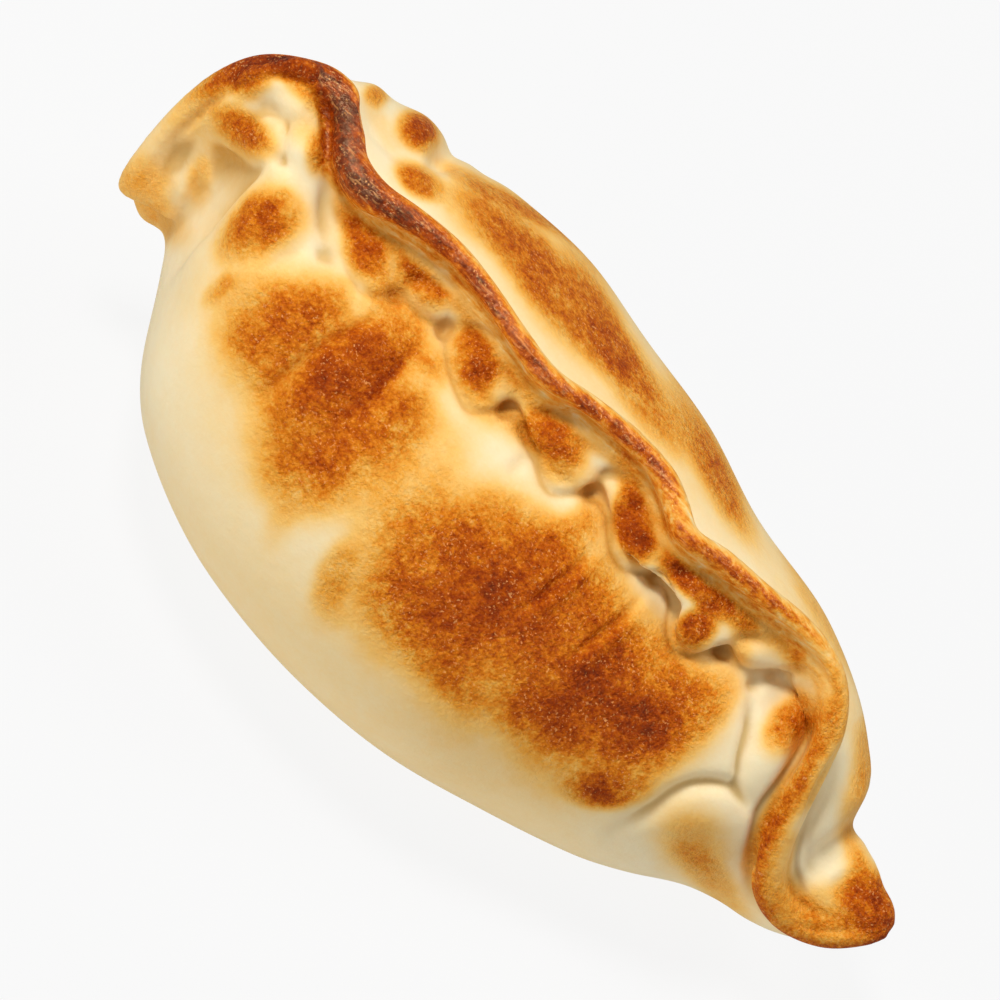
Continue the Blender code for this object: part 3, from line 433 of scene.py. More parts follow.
# Browning of the near side, from 0 for bare cream to 1 for nearly black:
# x, t, two radii, turn in degrees, softness, level.
NEAR_BROWN = (
    # first large patch of the belly
    (-33.6, 12.6, 7.2, 6.4, -14, 0.60, 0.38), (-33.2, 18.8, 2.6, 3.0, 20, 0.7, 0.18),
    (-23.4, 11.0, 7.4, 10.2, 6, 0.55, 0.40), (-25.2, 20.4, 3.0, 4.0, 6, 0.6, 0.32),
    (-21.0, 3.0, 4.4, 4.4, 0, 0.6, 0.14), (-26.8, 14.4, 2.6, 4.8, -8, 0.8, 0.27),
    (-23.6, 12.0, 3.4, 3.6, 0, 0.8, 0.18), (-23.0, 18.0, 1.2, 4.4, 4, 0.7, 0.22),
    (-18.2, 15.0, 2.6, 3.6, 0, 0.7, 0.16), (-34.6, 13.8, 3.2, 3.4, -10, 0.8, 0.14),
    (-36.2, 9.6, 2.0, 1.6, 0, 0.7, 0.20), (-31.8, 18.4, 1.8, 3.4, 8, 0.7, 0.16),
    (-23.0, 6.4, 5.4, 2.8, 0, 0.7, 0.08), (-22.4, 16.0, 0.5, 3.4, 0, 0.8, 0.30),
    # second large patch
    (-2.6, 6.6, 8.2, 10.2, -16, 0.50, 0.40), (6.8, 7.6, 8.2, 10.6, 0, 0.52, 0.34),
    (19.0, 7.8, 8.6, 9.4, 10, 0.50, 0.38), (26.8, 13.4, 3.6, 7.2, 4, 0.65, 0.34),
    (23.2, 8.6, 3.4, 3.2, 0, 0.8, 0.20), (3.9, 18.6, 1.9, 3.8, 0, 0.6, 0.26),
    (9.0, 16.6, 13.0, 3.0, 0, 0.6, 0.16), (9.6, 15.8, 3.6, 3.4, 0, 0.6, 0.12),
    (21.6, 14.6, 7.4, 3.6, 6, 0.6, 0.10), (-1.6, 12.6, 4.6, 3.4, 18, 0.7, 0.12),
    (3.6, 9.8, 2.6, 4.6, 0, 0.8, 0.24), (8.4, 9.6, 2.6, 4.0, 0, 0.8, 0.30),
    (-3.0, 6.6, 4.4, 3.6, 0, 0.8, 0.18), (2.6, 3.4, 4.4, 3.0, 0, 0.8, 0.14),
    (-5.0, 0.4, 4.2, 3.0, -20, 0.7, 0.14), (17.0, 9.2, 2.6, 4.8, 8, 0.8, 0.46),
    (23.6, 10.2, 3.4, 3.6, 0, 0.8, 0.40), (17.2, 3.4, 3.4, 2.6, 0, 0.8, 0.26),
    (20.4, 7.4, 4.4, 3.2, 0, 0.8, 0.16), (14.6, 1.2, 3.4, 2.4, 0, 0.7, 0.20),
    (28.0, 16.2, 2.0, 3.6, 0, 0.8, 0.14), (26.1, 1.8, 4.2, 2.1, 44, 0.5, 0.40),
    (26.2, 1.0, 2.4, 1.3, 40, 0.8, 0.26), (3.6, -1.2, 5.0, 2.2, 0, 0.6, 0.20),
    (-11.5, -2.2, 1.9, 3.4, 20, 0.6, 0.28), (-9.2, -5.6, 2.0, 2.0, 0, 0.8, 0.12),
    (-19.6, -2.6, 1.4, 2.8, 20, 0.8, 0.10),
    # faint gold halo round both
    (-27.5, 10.0, 14.0, 12.0, 0, 0.4, 0.10), (8.0, 7.0, 22.0, 13.0, 0, 0.4, 0.12),
    (-12.5, 12.0, 3.4, 9.0, 0, 0.6, 0.18), (-17.2, 15.6, 2.6, 4.0, 0, 0.7, 0.14),
    # tanned lower belly
    (8.0, -12.0, 46.0, 9.0, -2, 0.6, 0.08),
    # first pleat
    (-43.4, 21.6, 3.4, 2.7, 0, 0.60, 0.30), (-44.1, 18.8, 2.9, 3.0, 0, 0.6, 0.28),
    (-44.6, 15.8, 1.7, 2.2, 0, 0.7, 0.22), (-44.3, 21.4, 0.8, 2.4, 0, 0.8, 0.34),
    (-42.0, 20.6, 1.0, 2.2, 0, 0.8, 0.20), (-46.0, 19.4, 0.9, 2.4, 6, 0.8, 0.20),
    (-42.3, 11.6, 0.9, 2.0, 0, 0.8, 0.20), (-44.0, 16.0, 3.6, 9.0, 0, 0.5, 0.08),
    # flap
    (-52.2, 26.0, 3.6, 1.9, 8, 0.5, 0.36), (-52.2, 26.2, 2.0, 1.1, 0, 0.7, 0.26),
    (-55.7, 30.6, 1.7, 2.2, 0, 0.7, 0.46), (-44.8, 29.8, 1.4, 2.2, 35, 0.6, 0.40),
    (-54.5, 23.5, 4.4, 3.0, 0, 0.6, 0.10), (-57.8, 17.0, 2.2, 8.0, 0, 0.6, 0.06),
    (-55.8, 13.4, 4.0, 3.0, 0, 0.6, 0.20), (-52.2, 18.2, 1.3, 2.4, 40, 0.7, 0.32),
    (-52.0, 12.6, 3.0, 2.0, 0, 0.6, 0.14), (-50.2, 34.2, 6.0, 1.6, 0, 0.6, 0.36),
    (-53.4, 34.6, 4.4, 1.5, 32, 0.5, 0.62), (-57.6, 30.0, 1.5, 4.4, -22, 0.6, 0.26),
    (-50.0, 30.6, 4.0, 2.0, 0, 0.7, 0.10), (-51.0, 22.0, 3.4, 2.4, 0, 0.7, 0.05),
    (-57.0, 27.0, 2.6, 3.6, 20, 0.6, 0.10), (-47.4, 31.0, 2.0, 2.0, 0, 0.7, 0.10),
    (-52.0, 20.0, 6.0, 9.0, 0, 0.5, 0.06),
    # gold along the fold, then the brown fronts of the crimps
    (-39.0, 28.4, 3.4, 1.6, -34, 0.6, 0.30), (-34.0, 28.0, 4.6, 2.2, 8, 0.6, 0.30),
    (-26.0, 29.2, 5.4, 1.8, 2, 0.6, 0.30), (-17.0, 28.0, 5.4, 2.2, -12, 0.6, 0.30),
    (-9.0, 27.6, 4.6, 1.8, -2, 0.6, 0.30), (-2.0, 28.4, 4.6, 1.6, 14, 0.6, 0.30),
    (5.0, 28.2, 4.4, 1.6, -12, 0.6, 0.30), (12.5, 26.0, 4.0, 1.5, -14, 0.6, 0.30),
    (20.0, 26.4, 5.0, 1.5, 6, 0.6, 0.30), (28.5, 27.0, 6.0, 1.4, 3, 0.6, 0.14),
    # the long faint row first on the next line tans the lips, partly as painted shade under the crimps
    (-3.0, 24.4, 38.0, 2.0, 0, 0.6, 0.14), (-33.8, 25.5, 3.2, 2.0, -20, 0.5, 0.44),
    (-33.4, 25.2, 1.6, 1.2, 0, 0.8, 0.30), (-26.6, 27.4, 3.2, 1.6, -6, 0.5, 0.40),
    (-17.2, 25.6, 3.4, 2.2, -26, 0.5, 0.40), (-16.0, 25.2, 1.9, 1.4, -20, 0.8, 0.24),
    (-5.2, 25.0, 4.0, 1.9, 14, 0.5, 0.38), (-5.2, 25.0, 2.2, 1.2, 0, 0.8, 0.22),
    (8.0, 24.9, 4.4, 2.1, -40, 0.4, 0.50), (8.8, 24.6, 2.6, 1.7, -24, 0.8, 0.50),
    (18.6, 24.6, 5.7, 1.5, 7, 0.4, 0.45), (17.2, 24.1, 2.8, 0.9, 0, 0.8, 0.24),
    (21.0, 21.2, 1.9, 2.3, 0, 0.5, 0.62), (27.2, 22.8, 1.8, 1.0, 0, 0.8, 0.24),
    (32.8, 26.6, 2.4, 1.2, 0, 0.7, 0.28),
    # gold on the sides of the crimps and in the cups between them, partly painted shade in the cups and in
    # the valleys under the crimps
    (-29.2, 24.2, 1.7, 2.8, 6, 0.7, 0.28), (-15.5, 23.6, 1.9, 1.7, -20, 0.7, 0.20),
    (-13.5, 22.2, 8.0, 1.5, 3, 0.7, 0.15), (-20.0, 21.6, 2.0, 1.4, 0, 0.7, 0.16),
    (-2.2, 23.6, 1.9, 2.6, 0, 0.7, 0.22), (5.8, 21.5, 3.6, 1.4, -20, 0.7, 0.16),
    (29.2, 25.4, 2.6, 1.5, 0, 0.7, 0.22), (24.9, 25.0, 1.4, 1.4, 0, 0.7, 0.24),
    # panels at the narrow end
    (35.9, 21.4, 2.6, 4.2, 4, 0.5, 0.36), (36.4, 23.2, 1.6, 2.4, 0, 0.7, 0.16),
    (35.4, 20.6, 1.4, 2.4, 0, 0.7, 0.16), (37.2, 4.0, 3.8, 3.4, 0, 0.7, 0.22),
    (43.0, 2.4, 5.4, 1.8, -6, 0.7, 0.22), (38.5, 4.2, 6.0, 4.0, 0, 0.6, 0.05),
    # pointed end
    (56.2, 12.6, 4.0, 3.0, -10, 0.5, 0.46), (58.0, 12.6, 2.6, 2.2, 0, 0.7, 0.34),
    (53.2, 9.8, 3.0, 3.0, 50, 0.6, 0.20), (53.4, 14.4, 3.6, 1.7, -15, 0.6, 0.30),
    (50.4, 6.6, 3.4, 2.6, 0, 0.6, 0.16), (55.6, 7.2, 3.4, 2.0, 30, 0.6, 0.12),
    (50.2, 15.8, 2.2, 1.6, 0, 0.7, 0.2), (47.0, 19.8, 1.5, 4.0, 28, 0.7, 0.22),
    (44.6, 23.8, 1.5, 3.6, 40, 0.7, 0.20), (40.6, 27.0, 3.4, 1.4, -35, 0.7, 0.14),
)
# Places on the near side kept pale, laid out the same way. The first row is a painted highlight down the
# ridge of a pleat, and the rows from x -36 to 17 just under the rim lighten the band in the rim's shadow,
# partly as painted light. The level is how much of the browning and of the painted shade they lose.
NEAR_BARE = (
    (-30.3, 13.6, 1.1, 6.0, 4, 1.0, 0.30), (48.8, 13.4, 3.0, 2.2, -20, 0.6, 0.90),
    (44.6, 14.6, 1.0, 2.6, -20, 0.7, 0.50), (34.6, 26.2, 4.6, 1.6, -38, 0.6, 0.40),
    (30.0, 23.2, 3.0, 2.2, -20, 0.6, 0.80), (-51.4, 16.6, 2.4, 3.4, -10, 0.7, 0.50),
    (-51.6, 30.6, 2.4, 1.2, 10, 0.7, 0.60), (-36.0, 28.7, 4.5, 0.9, 12, 0.7, 0.45),
    (-27.0, 29.3, 5.5, 0.9, 2, 0.7, 0.45), (-16.5, 28.7, 6.0, 0.9, -6, 0.7, 0.45),
    (-4.0, 28.4, 6.0, 1.0, 6, 0.7, 0.50), (8.0, 27.3, 4.0, 0.8, -32, 0.7, 0.45),
    (17.0, 26.1, 7.0, 0.8, 4, 0.7, 0.45),
)
# The part of the back that faces the layout plane, laid out the same way
BACK_BROWN = (
    (-16.0, 37.5, 13.0, 2.9, -3, 0.45, 0.40), (-15.0, 37.6, 9.0, 2.0, -5, 0.8, 0.08),
    (-25.0, 41.2, 8.5, 0.9, 16, 0.8, 0.36), (-25.6, 37.0, 5.4, 2.0, 18, 0.6, 0.18),
    (-1.0, 35.6, 7.6, 2.2, -8, 0.6, 0.32), (-9.0, 37.2, 5.0, 2.0, -10, 0.8, 0.08),
    (9.6, 35.8, 8.6, 1.6, -20, 0.7, 0.30), (11.4, 34.4, 5.4, 1.6, -22, 0.7, 0.16),
    (-39.0, 39.2, 2.3, 1.9, 0, 0.6, 0.50), (-38.9, 39.6, 1.3, 1.2, 0, 0.7, 0.34),
    (-45.0, 38.8, 1.2, 1.2, 0, 0.7, 0.34), (-35.0, 35.3, 2.8, 1.5, 8, 0.6, 0.40),
    (-35.3, 34.6, 2.0, 1.1, 0, 0.7, 0.20), (-8.0, 36.4, 30.0, 5.8, -6, 0.4, 0.10),
    (-13.0, 34.4, 6.0, 1.4, -2, 0.7, 0.14), (-14.5, 41.0, 5.0, 1.2, -14, 0.7, 0.22),
    (36.0, 29.0, 15.0, 6.0, -25, 0.5, 0.10), (30.0, 32.4, 8.0, 1.4, -16, 0.6, 0.14),
    (-30.5, 37.6, 3.0, 1.4, 30, 0.7, 0.12), (-43.0, 37.0, 4.0, 1.0, -20, 0.7, 0.10),
)
# The rest of the back: x, z, two radii, turn, softness, level.
HIDDEN_BROWN = (
    (-15.0, 31.0, 14.0, 5.0, -3, 0.4, 0.40), (6.0, 28.0, 11.0, 5.0, -8, 0.4, 0.34),
    (-24.0, 25.0, 5.0, 4.0, 0, 0.6, 0.22), (0.0, 22.0, 7.0, 4.0, 0, 0.6, 0.18),
    (-34.0, 27.0, 3.6, 5.0, 0, 0.6, 0.30), (-42.0, 27.0, 2.6, 5.0, 0, 0.6, 0.24),
    (23.5, 24.5, 5.0, 4.0, 0, 0.6, 0.28), (-10.0, 28.0, 26.0, 10.0, 0, 0.4, 0.12),
    (-38.9, 37.0, 2.2, 2.4, 0, 0.6, 0.4), (56.0, 17.0, 4.0, 4.0, 0, 0.6, 0.4),
    (-55.0, 34.0, 5.0, 14.0, 0, 0.6, 0.2),
)
# Browning of the rolled rim: x, level on its most browned side, spread round the roll in degrees
RIM_BROWN = (
    (-60.0, 0.30, 60), (-57.5, 0.44, 60), (-55.0, 0.60, 60), (-50.0, 0.66, 60), (-46.0, 0.95, 86),
    (-38.0, 1.00, 88), (-34.0, 0.88, 70), (-28.0, 0.74, 50), (-22.0, 0.76, 48), (-16.0, 0.70, 42),
    (-8.0, 0.58, 40), (-2.0, 0.66, 38), (4.0, 0.70, 38), (8.0, 0.58, 36), (11.0, 0.32, 40),
    (13.5, 0.46, 36), (18.0, 0.68, 30), (22.0, 0.60, 30), (26.0, 0.36, 34), (30.0, 0.22, 36),
    (36.0, 0.16, 34), (39.5, 0.38, 44), (41.0, 0.36, 46), (43.0, 0.48, 50), (47.0, 0.44, 50),
    (52.0, 0.36, 40), (57.0, 0.50, 44), (60.0, 0.60, 54),
)
# Browning down the flap's own edge: z, level
FLAP_RIM = ((18.0, 0.06), (28.0, 0.08), (34.0, 0.16), (42.0, 0.48))

# Browning level, then the colour of the crust there
CRUST = (
    (0.00, (0.930, 0.785, 0.500)), (0.09, (0.930, 0.690, 0.340)), (0.20, (0.930, 0.550, 0.150)),
    (0.33, (0.890, 0.390, 0.048)), (0.46, (0.780, 0.225, 0.009)), (0.60, (0.560, 0.105, 0.003)),
    (0.74, (0.360, 0.047, 0.002)), (0.88, (0.210, 0.026, 0.004)), (1.00, (0.100, 0.016, 0.007)),
)

ROLL_GOLD = 0.2         # least browning of the roll along the crest
ROLL_FACING = math.radians(55.0)    # the most browned side of the roll, from the near side up
ROLL_REACH = (1.15, 1.9)    # from the rim's centre, in edge radii: still on the roll, quite off it
FLAP_EDGE = (-54.0, 42.0)   # below this x and this z, the rim is the flap's own edge
STREAKS_START = (-55.0, -48.0)  # along x, the roll is drawn into streaks from here
STREAKS_STOP = (30.0, 39.0)     # to here
UNDERNEATH = 0.16       # least browning of the underside
UNDERNEATH_TOP = 5.0    # height at which that has faded out
AROUND = 70             # rounds of smoothing that a hollow is measured against
HOLLOW_DEPTH = (0.0, 0.6)   # depth below the smoothed surface: no shade, full shade
HOLLOW_SHADE = (0.74, 0.62, 0.42)   # share of the colour that full shade leaves
BATCH = 4000            # points measured against the rim at a time

# Grain of the crust: features to the metre, octaves, roughness
CLOUD = (260.0, 4.0, 0.6)       # wide drift of the browning
PATCH_GLINTS_GATHER = (420.0, 2.0, 0.5)      # where the painted glints on the patches gather
SWELLINGS = (500.0, 3.0, 0.5)
MOTTLE = (900.0, 3.0, 0.6)
FIBRES = (1700.0, 3.0, 0.6)     # drawn out along the roll
BLISTERS = (1900.0, 3.0, 0.7)
GLINTS = (2400.0, 2.0, 0.5)     # painted glints, drawn out along the roll
GRAIN = (2600.0, 2.0, 0.6)
# painted glints on the patches
PATCH_GLINTS = (3000.0, 2.0, 0.5)
DRAWN_OUT = (0.2, 1.0, 1.0)     # scale of x, y, z that draws the fibres and painted glints out

# Easings. The first two numbers are the values of the source where the easing starts and stops.
# The other two are the results there, 0 and 1 where they aren't given.
# Each comment names the source, then the result.
DRIFTING = (0.05, 0.5, 0.06, 0.50)      # browning: strength of the drift
GRAINY = (0.14, 0.55, 0.08, 1.0)        # browning: strength of mottle and grain
PATCH_GLINTING = (0.15, 0.5)                   # browning: strength of the painted glints
PATCH_GLINTS_GATHERED = (0.38, 0.62, 0.15, 0.62)     # noise: strength of the painted glints
PATCH_GLINT = (0.58, 0.70)                    # noise: a painted glint
GLINTING = (0.2, 0.6, 0.0, 0.36)        # browning of the roll: strength of the painted glints
GLINT = (0.56, 0.70)                    # noise: a painted glint
BLISTERED = (0.08, 0.5, 0.05, 1.0)      # browning: height of the blisters
ROLL_BLISTERED = (0.0, 1.0, 1.0, 0.30)  # share on the streaky roll: height of the blisters
SWOLLEN = (0.05, 0.5, 0.16, 0.8)        # browning: height of the swellings
ROUGHNESS = (0.0, 0.5, 0.46, 0.22)      # browning: roughness
SHINE = (0.2, 0.7, 0.20, 0.9)           # browning of the roll: strength of the gloss

MOTTLE_STRENGTH = 0.56
GRAIN_STRENGTH = 0.44
STREAK_STRENGTH = 0.8   # of the fibres, in the browning
FIBRE_HEIGHT = 0.35     # of the fibres, in the relief
RELIEF = 0.0006         # metres of relief in the grain
# colour of the painted glints mixed into the crust, standing in for highlights
PAINTED_GLINT_COLOUR = (1.0, 0.47, 0.15)
GLOSS_TINT = (1.0, 0.65, 0.35)
GLOW_THROUGH = 0.06     # share of light scattered under the surface
GLOW_COLOUR = (1.0, 0.5, 0.2)
GLOW_DEPTH = 0.0025     # metres

# Name, direction, distance in metres, size in metres and power in watts of each lamp
LAMPS = (
    ("key", (-0.40, -0.10, 0.91), 0.75, 0.20, 3.6),
    ("fill", (-0.5, -0.85, 0.45), 1.2, 0.7, 3.7),
    ("back", (0.40, 0.42, 0.81), 0.9, 0.5, 3.0),
)
LAMPS_AIM = 0.02        # height in metres that the lamps point at
SKY = 0.14
SKY_COLOUR = (1.0, 0.99, 0.97)
FLOOR_REACH = 3.0
FLOOR_COLOUR = (0.06, 0.06, 0.06)
FLOOR_GLOW = 0.88

VIEW_X, VIEW_T = -4.24, 16.3    # the place on the layout plane that the camera looks at
VIEW_ROLL = 44.13       # degrees that the camera is rolled
VIEW_DISTANCE = 2.0
VIEW_WIDTH = 0.1101     # metres across the picture
SENSOR = 36.0


def patches(spots, table):
    """How strongly a table's overlapping soft patches cover each spot, from 0 to 1"""
    bare = np.ones(len(spots))
    for x, t, long, short, turn, soft, level in table:
        c, s = math.cos(math.radians(turn)), math.sin(math.radians(turn))
        dx, dt = spots[:, 0] - x, spots[:, 1] - t
        r = np.hypot((c * dx + s * dt) / long, (c * dt - s * dx) / short)
        bare *= 1.0 - level * (1.0 - smoothstep(1.0 - soft, 1.0 + soft, r))
    return 1.0 - bare


def rim_place(points):
    """For each point: the nearest place on the rim, how far it lies outward, to the near side and in all
    from there, and the edge radius"""
    rows, centre, out, near = rim_frames()
    nearest = np.empty(len(points), int)
    for start in range(0, len(points), BATCH):
        part = points[start:start + BATCH]
        gap = ((part[:, None, :] - centre[None]) ** 2).sum(-1)
        nearest[start:start + BATCH] = gap.argmin(1)
    off = points - centre[nearest]
    rise = (off * out[nearest]).sum(1)
    forward = (off * near[nearest]).sum(1)
    return centre[nearest], rise, forward, np.linalg.norm(off, axis=1), rows[nearest, 3]


def patch_browning(points, spots, facing):
    """Browning by the patches of the near side, the back and the underside"""
    near_side, far_side = sides(points)
    near = patches(spots, NEAR_BROWN) * smoothstep(*NEAR_BROWNING, facing)
    seen = smoothstep(*BACK_BROWNING, facing)
    hidden = patches(points[:, [0, 2]], HIDDEN_BROWN)
    far = seen * patches(spots, BACK_BROWN) + (1.0 - seen) * hidden
    underneath = UNDERNEATH * (1.0 - smoothstep(0.0, UNDERNEATH_TOP, points[:, 2]))
    return np.maximum(near_side * near + far_side * far, underneath)


def roll_browning(points):
    """Browning of the rolled rim, and how far each point is on the streaky part of the roll"""
    centre, rise, forward, gap, radius = rim_place(points)
    x, z = centre[:, 0], centre[:, 2]
    table = np.array(RIM_BROWN)
    rim = np.interp(x, table[:, 0], table[:, 1])
    spread = np.radians(np.interp(x, table[:, 0], table[:, 2]))
    flap_edge = (x < FLAP_EDGE[0]) & (z < FLAP_EDGE[1])
    rim = np.where(flap_edge, np.interp(z, *np.array(FLAP_RIM).T), rim)
    turn = np.arctan2(rise, forward)
    round_roll = np.exp(-((turn - ROLL_FACING) / spread) ** 2)
    on_roll = 1.0 - smoothstep(*ROLL_REACH, gap / radius)
    gold = on_roll * np.where(flap_edge, 0.0, ROLL_GOLD)
    streaky = on_roll * smoothstep(*STREAKS_START, x) * (1.0 - smoothstep(*STREAKS_STOP, x))
    return 1.0 - (1.0 - on_roll * rim * round_roll) * (1.0 - gold), streaky


def browning(points, directions):
    """For every point, in the frame of the tables: browning, share on the streaky roll, share kept pale"""
    spots, facing = on_layout(points, directions)
    roll, streaky = roll_browning(points)
    level = 1.0 - (1.0 - patch_browning(points, spots, facing)) * (1.0 - roll)
    pale = sides(points)[0] * patches(spots, NEAR_BARE)
    return level * (1.0 - pale), streaky, pale


def hollows(mesh, points, directions):
    """How far every point lies below the surface smoothed over its surroundings"""
    ends = np.empty(len(mesh.edges) * 2, int)
    mesh.edges.foreach_get("vertices", ends)
    first, second = ends.reshape(-1, 2).T
    links = np.bincount(ends, minlength=len(points))[:, None]
    around = points.copy()
    for _ in range(AROUND):
        total = np.zeros_like(around)
        for k in range(3):
            total[:, k] += np.bincount(first, around[second, k], len(points))
            total[:, k] += np.bincount(second, around[first, k], len(points))
        around = total / links
    return ((around - points) * directions).sum(1)


def add_attribute(mesh, name, values):
    layer = mesh.attributes.new(name, "FLOAT", "POINT")
    layer.data.foreach_set("value", values.astype(np.float32))


class Nodes:
    """Short calls for building a material's node tree"""

    def __init__(self, tree):
        self.tree = tree

    def add(self, kind, inputs=(), **settings):
        node = self.tree.nodes.new(kind)
        for key, value in settings.items():
            setattr(node, key, value)
        for name, value in dict(inputs).items():
            if isinstance(value, bpy.types.NodeSocket):
                self.tree.links.new(value, node.inputs[name])
            else:
                node.inputs[name].default_value = value
        return node

    def attribute(self, name):
        return self.add("ShaderNodeAttribute", attribute_name=name).outputs["Fac"]

    def math(self, operation, a, b):
        return self.add("ShaderNodeMath", {0: a, 1: b}, operation=operation).outputs[0]

    def times(self, a, b):
        return self.math("MULTIPLY", a, b)

    def total(self, *values):
        """Sum of any number of values"""
        result = values[0]
        for value in values[1:]:
            result = self.math("ADD", result, value)
        return result

    def noise(self, place, grain):
        scale, octaves, roughness = grain
        return self.add("ShaderNodeTexNoise", {"Vector": place, "Scale": scale, "Detail": octaves,
                                               "Roughness": roughness}).outputs["Fac"]

    def swing(self, place, grain):
        """Noise that swings about zero"""
        return self.math("SUBTRACT", self.noise(place, grain), 0.5)

    def mix(self, kind, factor, a, b):
        """Colour a mixed with the plain colour b"""
        node = self.add("ShaderNodeMix", data_type="RGBA", blend_type=kind)
        self.tree.links.new(factor, node.inputs["Factor"])
        self.tree.links.new(a, node.inputs[6])
        node.inputs[7].default_value = (*b, 1.0)
        return node.outputs[2]

    def between(self, value, low, high, to_low=0.0, to_high=1.0):
        """Value eased from one range to another"""
        return self.add("ShaderNodeMapRange", {"Value": value, "From Min": low, "From Max": high,
                                               "To Min": to_low, "To Max": to_high},
                        interpolation_type="SMOOTHSTEP").outputs["Result"]


def crust_ramp(nodes, level):
    """Colour of the crust at a browning level"""
    ramp = nodes.add("ShaderNodeValToRGB", {"Fac": level})
    stops = ramp.color_ramp.elements
    while len(stops) < len(CRUST):
        stops.new(0.5)
    for stop, (position, colour) in zip(stops, CRUST):
        stop.position = position
        stop.color = (*colour, 1.0)
    return ramp.outputs["Color"]


def crust_colour(nodes, place, along, baked, roll):
    """Browning broken up by grain, painted glints on the patches and along the roll, painted shade in the
    hollows
    """
    grainy = nodes.between(baked, *GRAINY)
    drift = nodes.times(nodes.swing(place, CLOUD), nodes.between(baked, *DRIFTING))
    speck = nodes.times(nodes.swing(place, MOTTLE), nodes.times(grainy, MOTTLE_STRENGTH))
    fine = nodes.times(nodes.swing(place, GRAIN), nodes.times(grainy, GRAIN_STRENGTH))
    streak = nodes.times(nodes.swing(along, FIBRES), nodes.times(roll, STREAK_STRENGTH))
    colour = crust_ramp(nodes, nodes.total(baked, drift, speck, fine, streak))
    # painted glints: pale specks on the patches and along the roll, mixed into the colour as highlights
    gathered = nodes.between(nodes.noise(place, PATCH_GLINTS_GATHER), *PATCH_GLINTS_GATHERED)
    glints_on_patch = nodes.times(gathered, nodes.between(baked, *PATCH_GLINTING))
    patch_glint = nodes.times(nodes.between(nodes.noise(place, PATCH_GLINTS), *PATCH_GLINT), glints_on_patch)
    on_roll = nodes.between(nodes.times(roll, baked), *GLINTING)
    glint = nodes.times(nodes.between(nodes.noise(along, GLINTS), *GLINT), on_roll)
    with_painted_glints = nodes.mix("MIX", nodes.math("MAXIMUM", patch_glint, glint), colour, PAINTED_GLINT_COLOUR)
    # painted shade multiplied into the hollows
    return nodes.mix("MULTIPLY", nodes.attribute("hollow_painted_shade"), with_painted_glints, HOLLOW_SHADE)


def crust_bump(nodes, place, along, baked, roll):
    """Blisters and soft swellings on the browned parts, fibres on the roll"""
    blistered = nodes.times(nodes.between(baked, *BLISTERED), nodes.between(roll, *ROLL_BLISTERED))
    blisters = nodes.times(nodes.swing(place, BLISTERS), blistered)
    swellings = nodes.times(nodes.swing(place, SWELLINGS), nodes.between(baked, *SWOLLEN))
    fibres = nodes.times(nodes.swing(along, FIBRES), nodes.times(roll, FIBRE_HEIGHT))
    height = nodes.total(blisters, swellings, fibres)
    bump = nodes.add("ShaderNodeBump", {"Height": height, "Strength": 1.0, "Distance": RELIEF})
    return bump.outputs["Normal"]


def crust_material():
    """Baked dough: cream to dark brown by the browning attribute, grainy where it is browned"""
    material = bpy.data.materials.new("baked_crust")
    material.use_nodes = True
    tree = material.node_tree
    nodes = Nodes(tree)
    shader = tree.nodes["Principled BSDF"]
    place = nodes.add("ShaderNodeTexCoord").outputs["Object"]
    along = nodes.add("ShaderNodeVectorMath", {0: place, 1: DRAWN_OUT}, operation="MULTIPLY").outputs[0]
    baked, roll = nodes.attribute("browning"), nodes.attribute("roll")
    tree.links.new(crust_colour(nodes, place, along, baked, roll), shader.inputs["Base Color"])
    tree.links.new(crust_bump(nodes, place, along, baked, roll), shader.inputs["Normal"])
    tree.links.new(nodes.between(baked, *ROUGHNESS), shader.inputs["Roughness"])
    shine = nodes.between(nodes.times(roll, baked), *SHINE)
    tree.links.new(shine, shader.inputs["Specular IOR Level"])
    shader.inputs["Specular Tint"].default_value = (*GLOSS_TINT, 1.0)
    shader.inputs["Subsurface Weight"].default_value = GLOW_THROUGH
    shader.inputs["Subsurface Radius"].default_value = GLOW_COLOUR
    shader.inputs["Subsurface Scale"].default_value = GLOW_DEPTH
    return material


def floor_material():
    """Pale floor that glows evenly, so that it shows nearly white whatever the lamps do"""
    material = bpy.data.materials.new("pale_floor")
    material.use_nodes = True
    shader = material.node_tree.nodes["Principled BSDF"]
    shader.inputs["Base Color"].default_value = (*FLOOR_COLOUR, 1.0)
    shader.inputs["Roughness"].default_value = 0.9
    shader.inputs["Specular IOR Level"].default_value = 0.0
    shader.inputs["Emission Color"].default_value = (1.0, 1.0, 1.0, 1.0)
    shader.inputs["Emission Strength"].default_value = FLOOR_GLOW
    return material


def fit_to_solid(mesh):
    """Scales and moves the mesh so that its box has the length, middle and bottom of the CAD solid's"""
    low, high = (np.array(v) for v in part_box(NODE))
    points = coordinates(mesh)
    own_low, own_high = points.min(0), points.max(0)
    points *= (high[0] - low[0]) / (own_high[0] - own_low[0])
    across = (points[:, 1].min() + points[:, 1].max()) / 2.0
    points += [(low[0] + high[0]) / 2.0, (low[1] + high[1]) / 2.0 - across, low[2] - points[:, 2].min()]
    mesh.vertices.foreach_set("co", points.ravel())
    mesh.update()
    return points


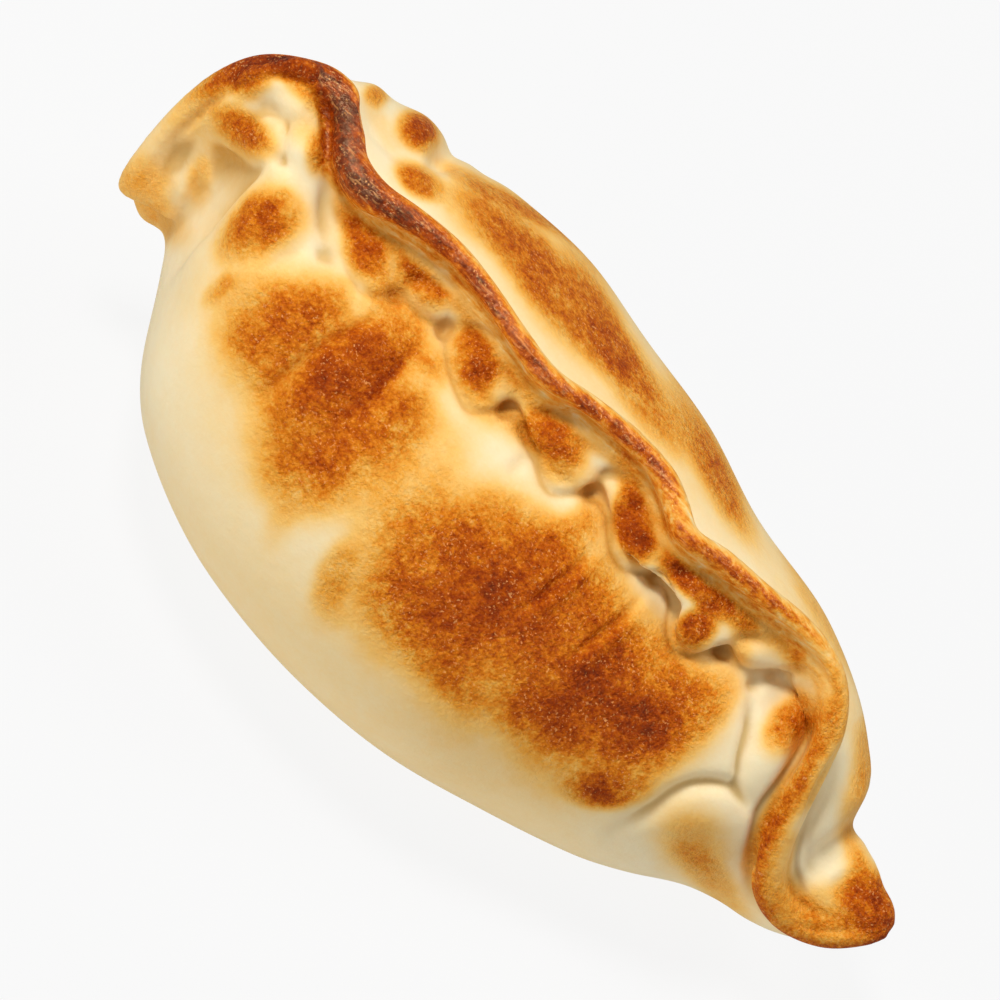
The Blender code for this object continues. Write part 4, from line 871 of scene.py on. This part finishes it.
def make_crust():
    """The fine crust, laid exactly over the CAD solid"""
    mesh, middle, scale = shape_mesh(VOXEL, SMOOTHING, FACES)
    mesh.name = "empanada_crust"
    points = fit_to_solid(mesh)
    mesh.polygons.foreach_set("use_smooth", [True] * len(mesh.polygons))
    # the same points in the frame of the tables
    raw = points / MM / scale + middle + [0.0, 0.0, FLAT]
    directions = normals(mesh)
    level, streaky, pale = browning(raw, directions)
    depth = smoothstep(*HOLLOW_DEPTH, hollows(mesh, raw, directions))
    add_attribute(mesh, "browning", level)
    add_attribute(mesh, "roll", streaky)
    # painted shade: the colour is darkened in the near side's hollows, where shade falls
    add_attribute(mesh, "hollow_painted_shade", sides(raw)[0] * depth * (1.0 - pale))
    mesh.materials.append(crust_material())
    crust = bpy.data.objects.new("empanada_crust", mesh)
    bpy.context.scene.collection.objects.link(crust)
    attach(crust, "root")
    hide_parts(NODE)
    return middle, scale


def make_floor():
    mesh = bpy.data.meshes.new("floor")
    reach = FLOOR_REACH
    corners = [(-reach, -reach, 0), (reach, -reach, 0), (reach, reach, 0), (-reach, reach, 0)]
    mesh.from_pydata(corners, [], [(0, 1, 2, 3)])
    mesh.materials.append(floor_material())
    floor = bpy.data.objects.new("floor", mesh)
    bpy.context.scene.collection.objects.link(floor)
    floor.visible_glossy = False


def aim(thing, place, toward, up=Vector((0.0, 0.0, 1.0))):
    """Puts a lamp or camera at a place, looking toward a point"""
    back = (place - toward).normalized()
    side = up.cross(back).normalized()
    turn = Matrix((side, back.cross(side), back)).transposed().to_4x4()
    thing.matrix_world = Matrix.Translation(place) @ turn


def make_lamp(name, direction, distance, size, power):
    light = bpy.data.lights.new(name, "AREA")
    light.shape = "DISK"
    light.size = size
    light.energy = power
    lamp = bpy.data.objects.new(name, light)
    bpy.context.scene.collection.objects.link(lamp)
    aim(lamp, Vector(direction).normalized() * distance, Vector((0.0, 0.0, LAMPS_AIM)))
    lamp.visible_camera = False


def make_camera(middle, scale):
    """Looks along +Y and down, rolled so that the length runs from upper left to lower right"""
    # a point on the layout plane, in the frame of the tables
    raw = np.array([VIEW_X, 0.0, VIEW_T / math.cos(LEAN)])
    toward = Vector((raw - middle - [0.0, 0.0, FLAT]) * scale * MM)
    back = Vector(OUT_PLANE)
    roll = math.radians(VIEW_ROLL)
    up = Vector((-math.sin(roll), 0.0, 0.0)) + Vector(UP_PLANE) * math.cos(roll)
    camera = bpy.data.objects.new("camera", bpy.data.cameras.new("camera"))
    bpy.context.scene.collection.objects.link(camera)
    aim(camera, toward + back * VIEW_DISTANCE, toward, up)
    camera.data.sensor_width = SENSOR
    camera.data.lens = SENSOR * VIEW_DISTANCE / VIEW_WIDTH
    camera.data.clip_end = 100.0
    bpy.context.scene.camera = camera


def make_world():
    world = bpy.data.worlds.new("soft_sky")
    bpy.context.scene.world = world
    world.use_nodes = True
    back = world.node_tree.nodes["Background"]
    back.inputs["Color"].default_value = (*SKY_COLOUR, 1.0)
    back.inputs["Strength"].default_value = SKY
    bpy.context.scene.view_settings.view_transform = "Standard"


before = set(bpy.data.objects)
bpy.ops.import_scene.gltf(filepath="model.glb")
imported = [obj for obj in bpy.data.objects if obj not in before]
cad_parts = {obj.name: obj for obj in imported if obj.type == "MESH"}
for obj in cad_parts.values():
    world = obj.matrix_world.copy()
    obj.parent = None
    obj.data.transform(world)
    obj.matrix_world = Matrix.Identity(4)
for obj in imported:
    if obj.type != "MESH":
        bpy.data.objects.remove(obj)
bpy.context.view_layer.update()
table_middle, table_scale = make_crust()
make_floor()
make_world()
for lamp_row in LAMPS:
    make_lamp(*lamp_row)
make_camera(table_middle, table_scale)
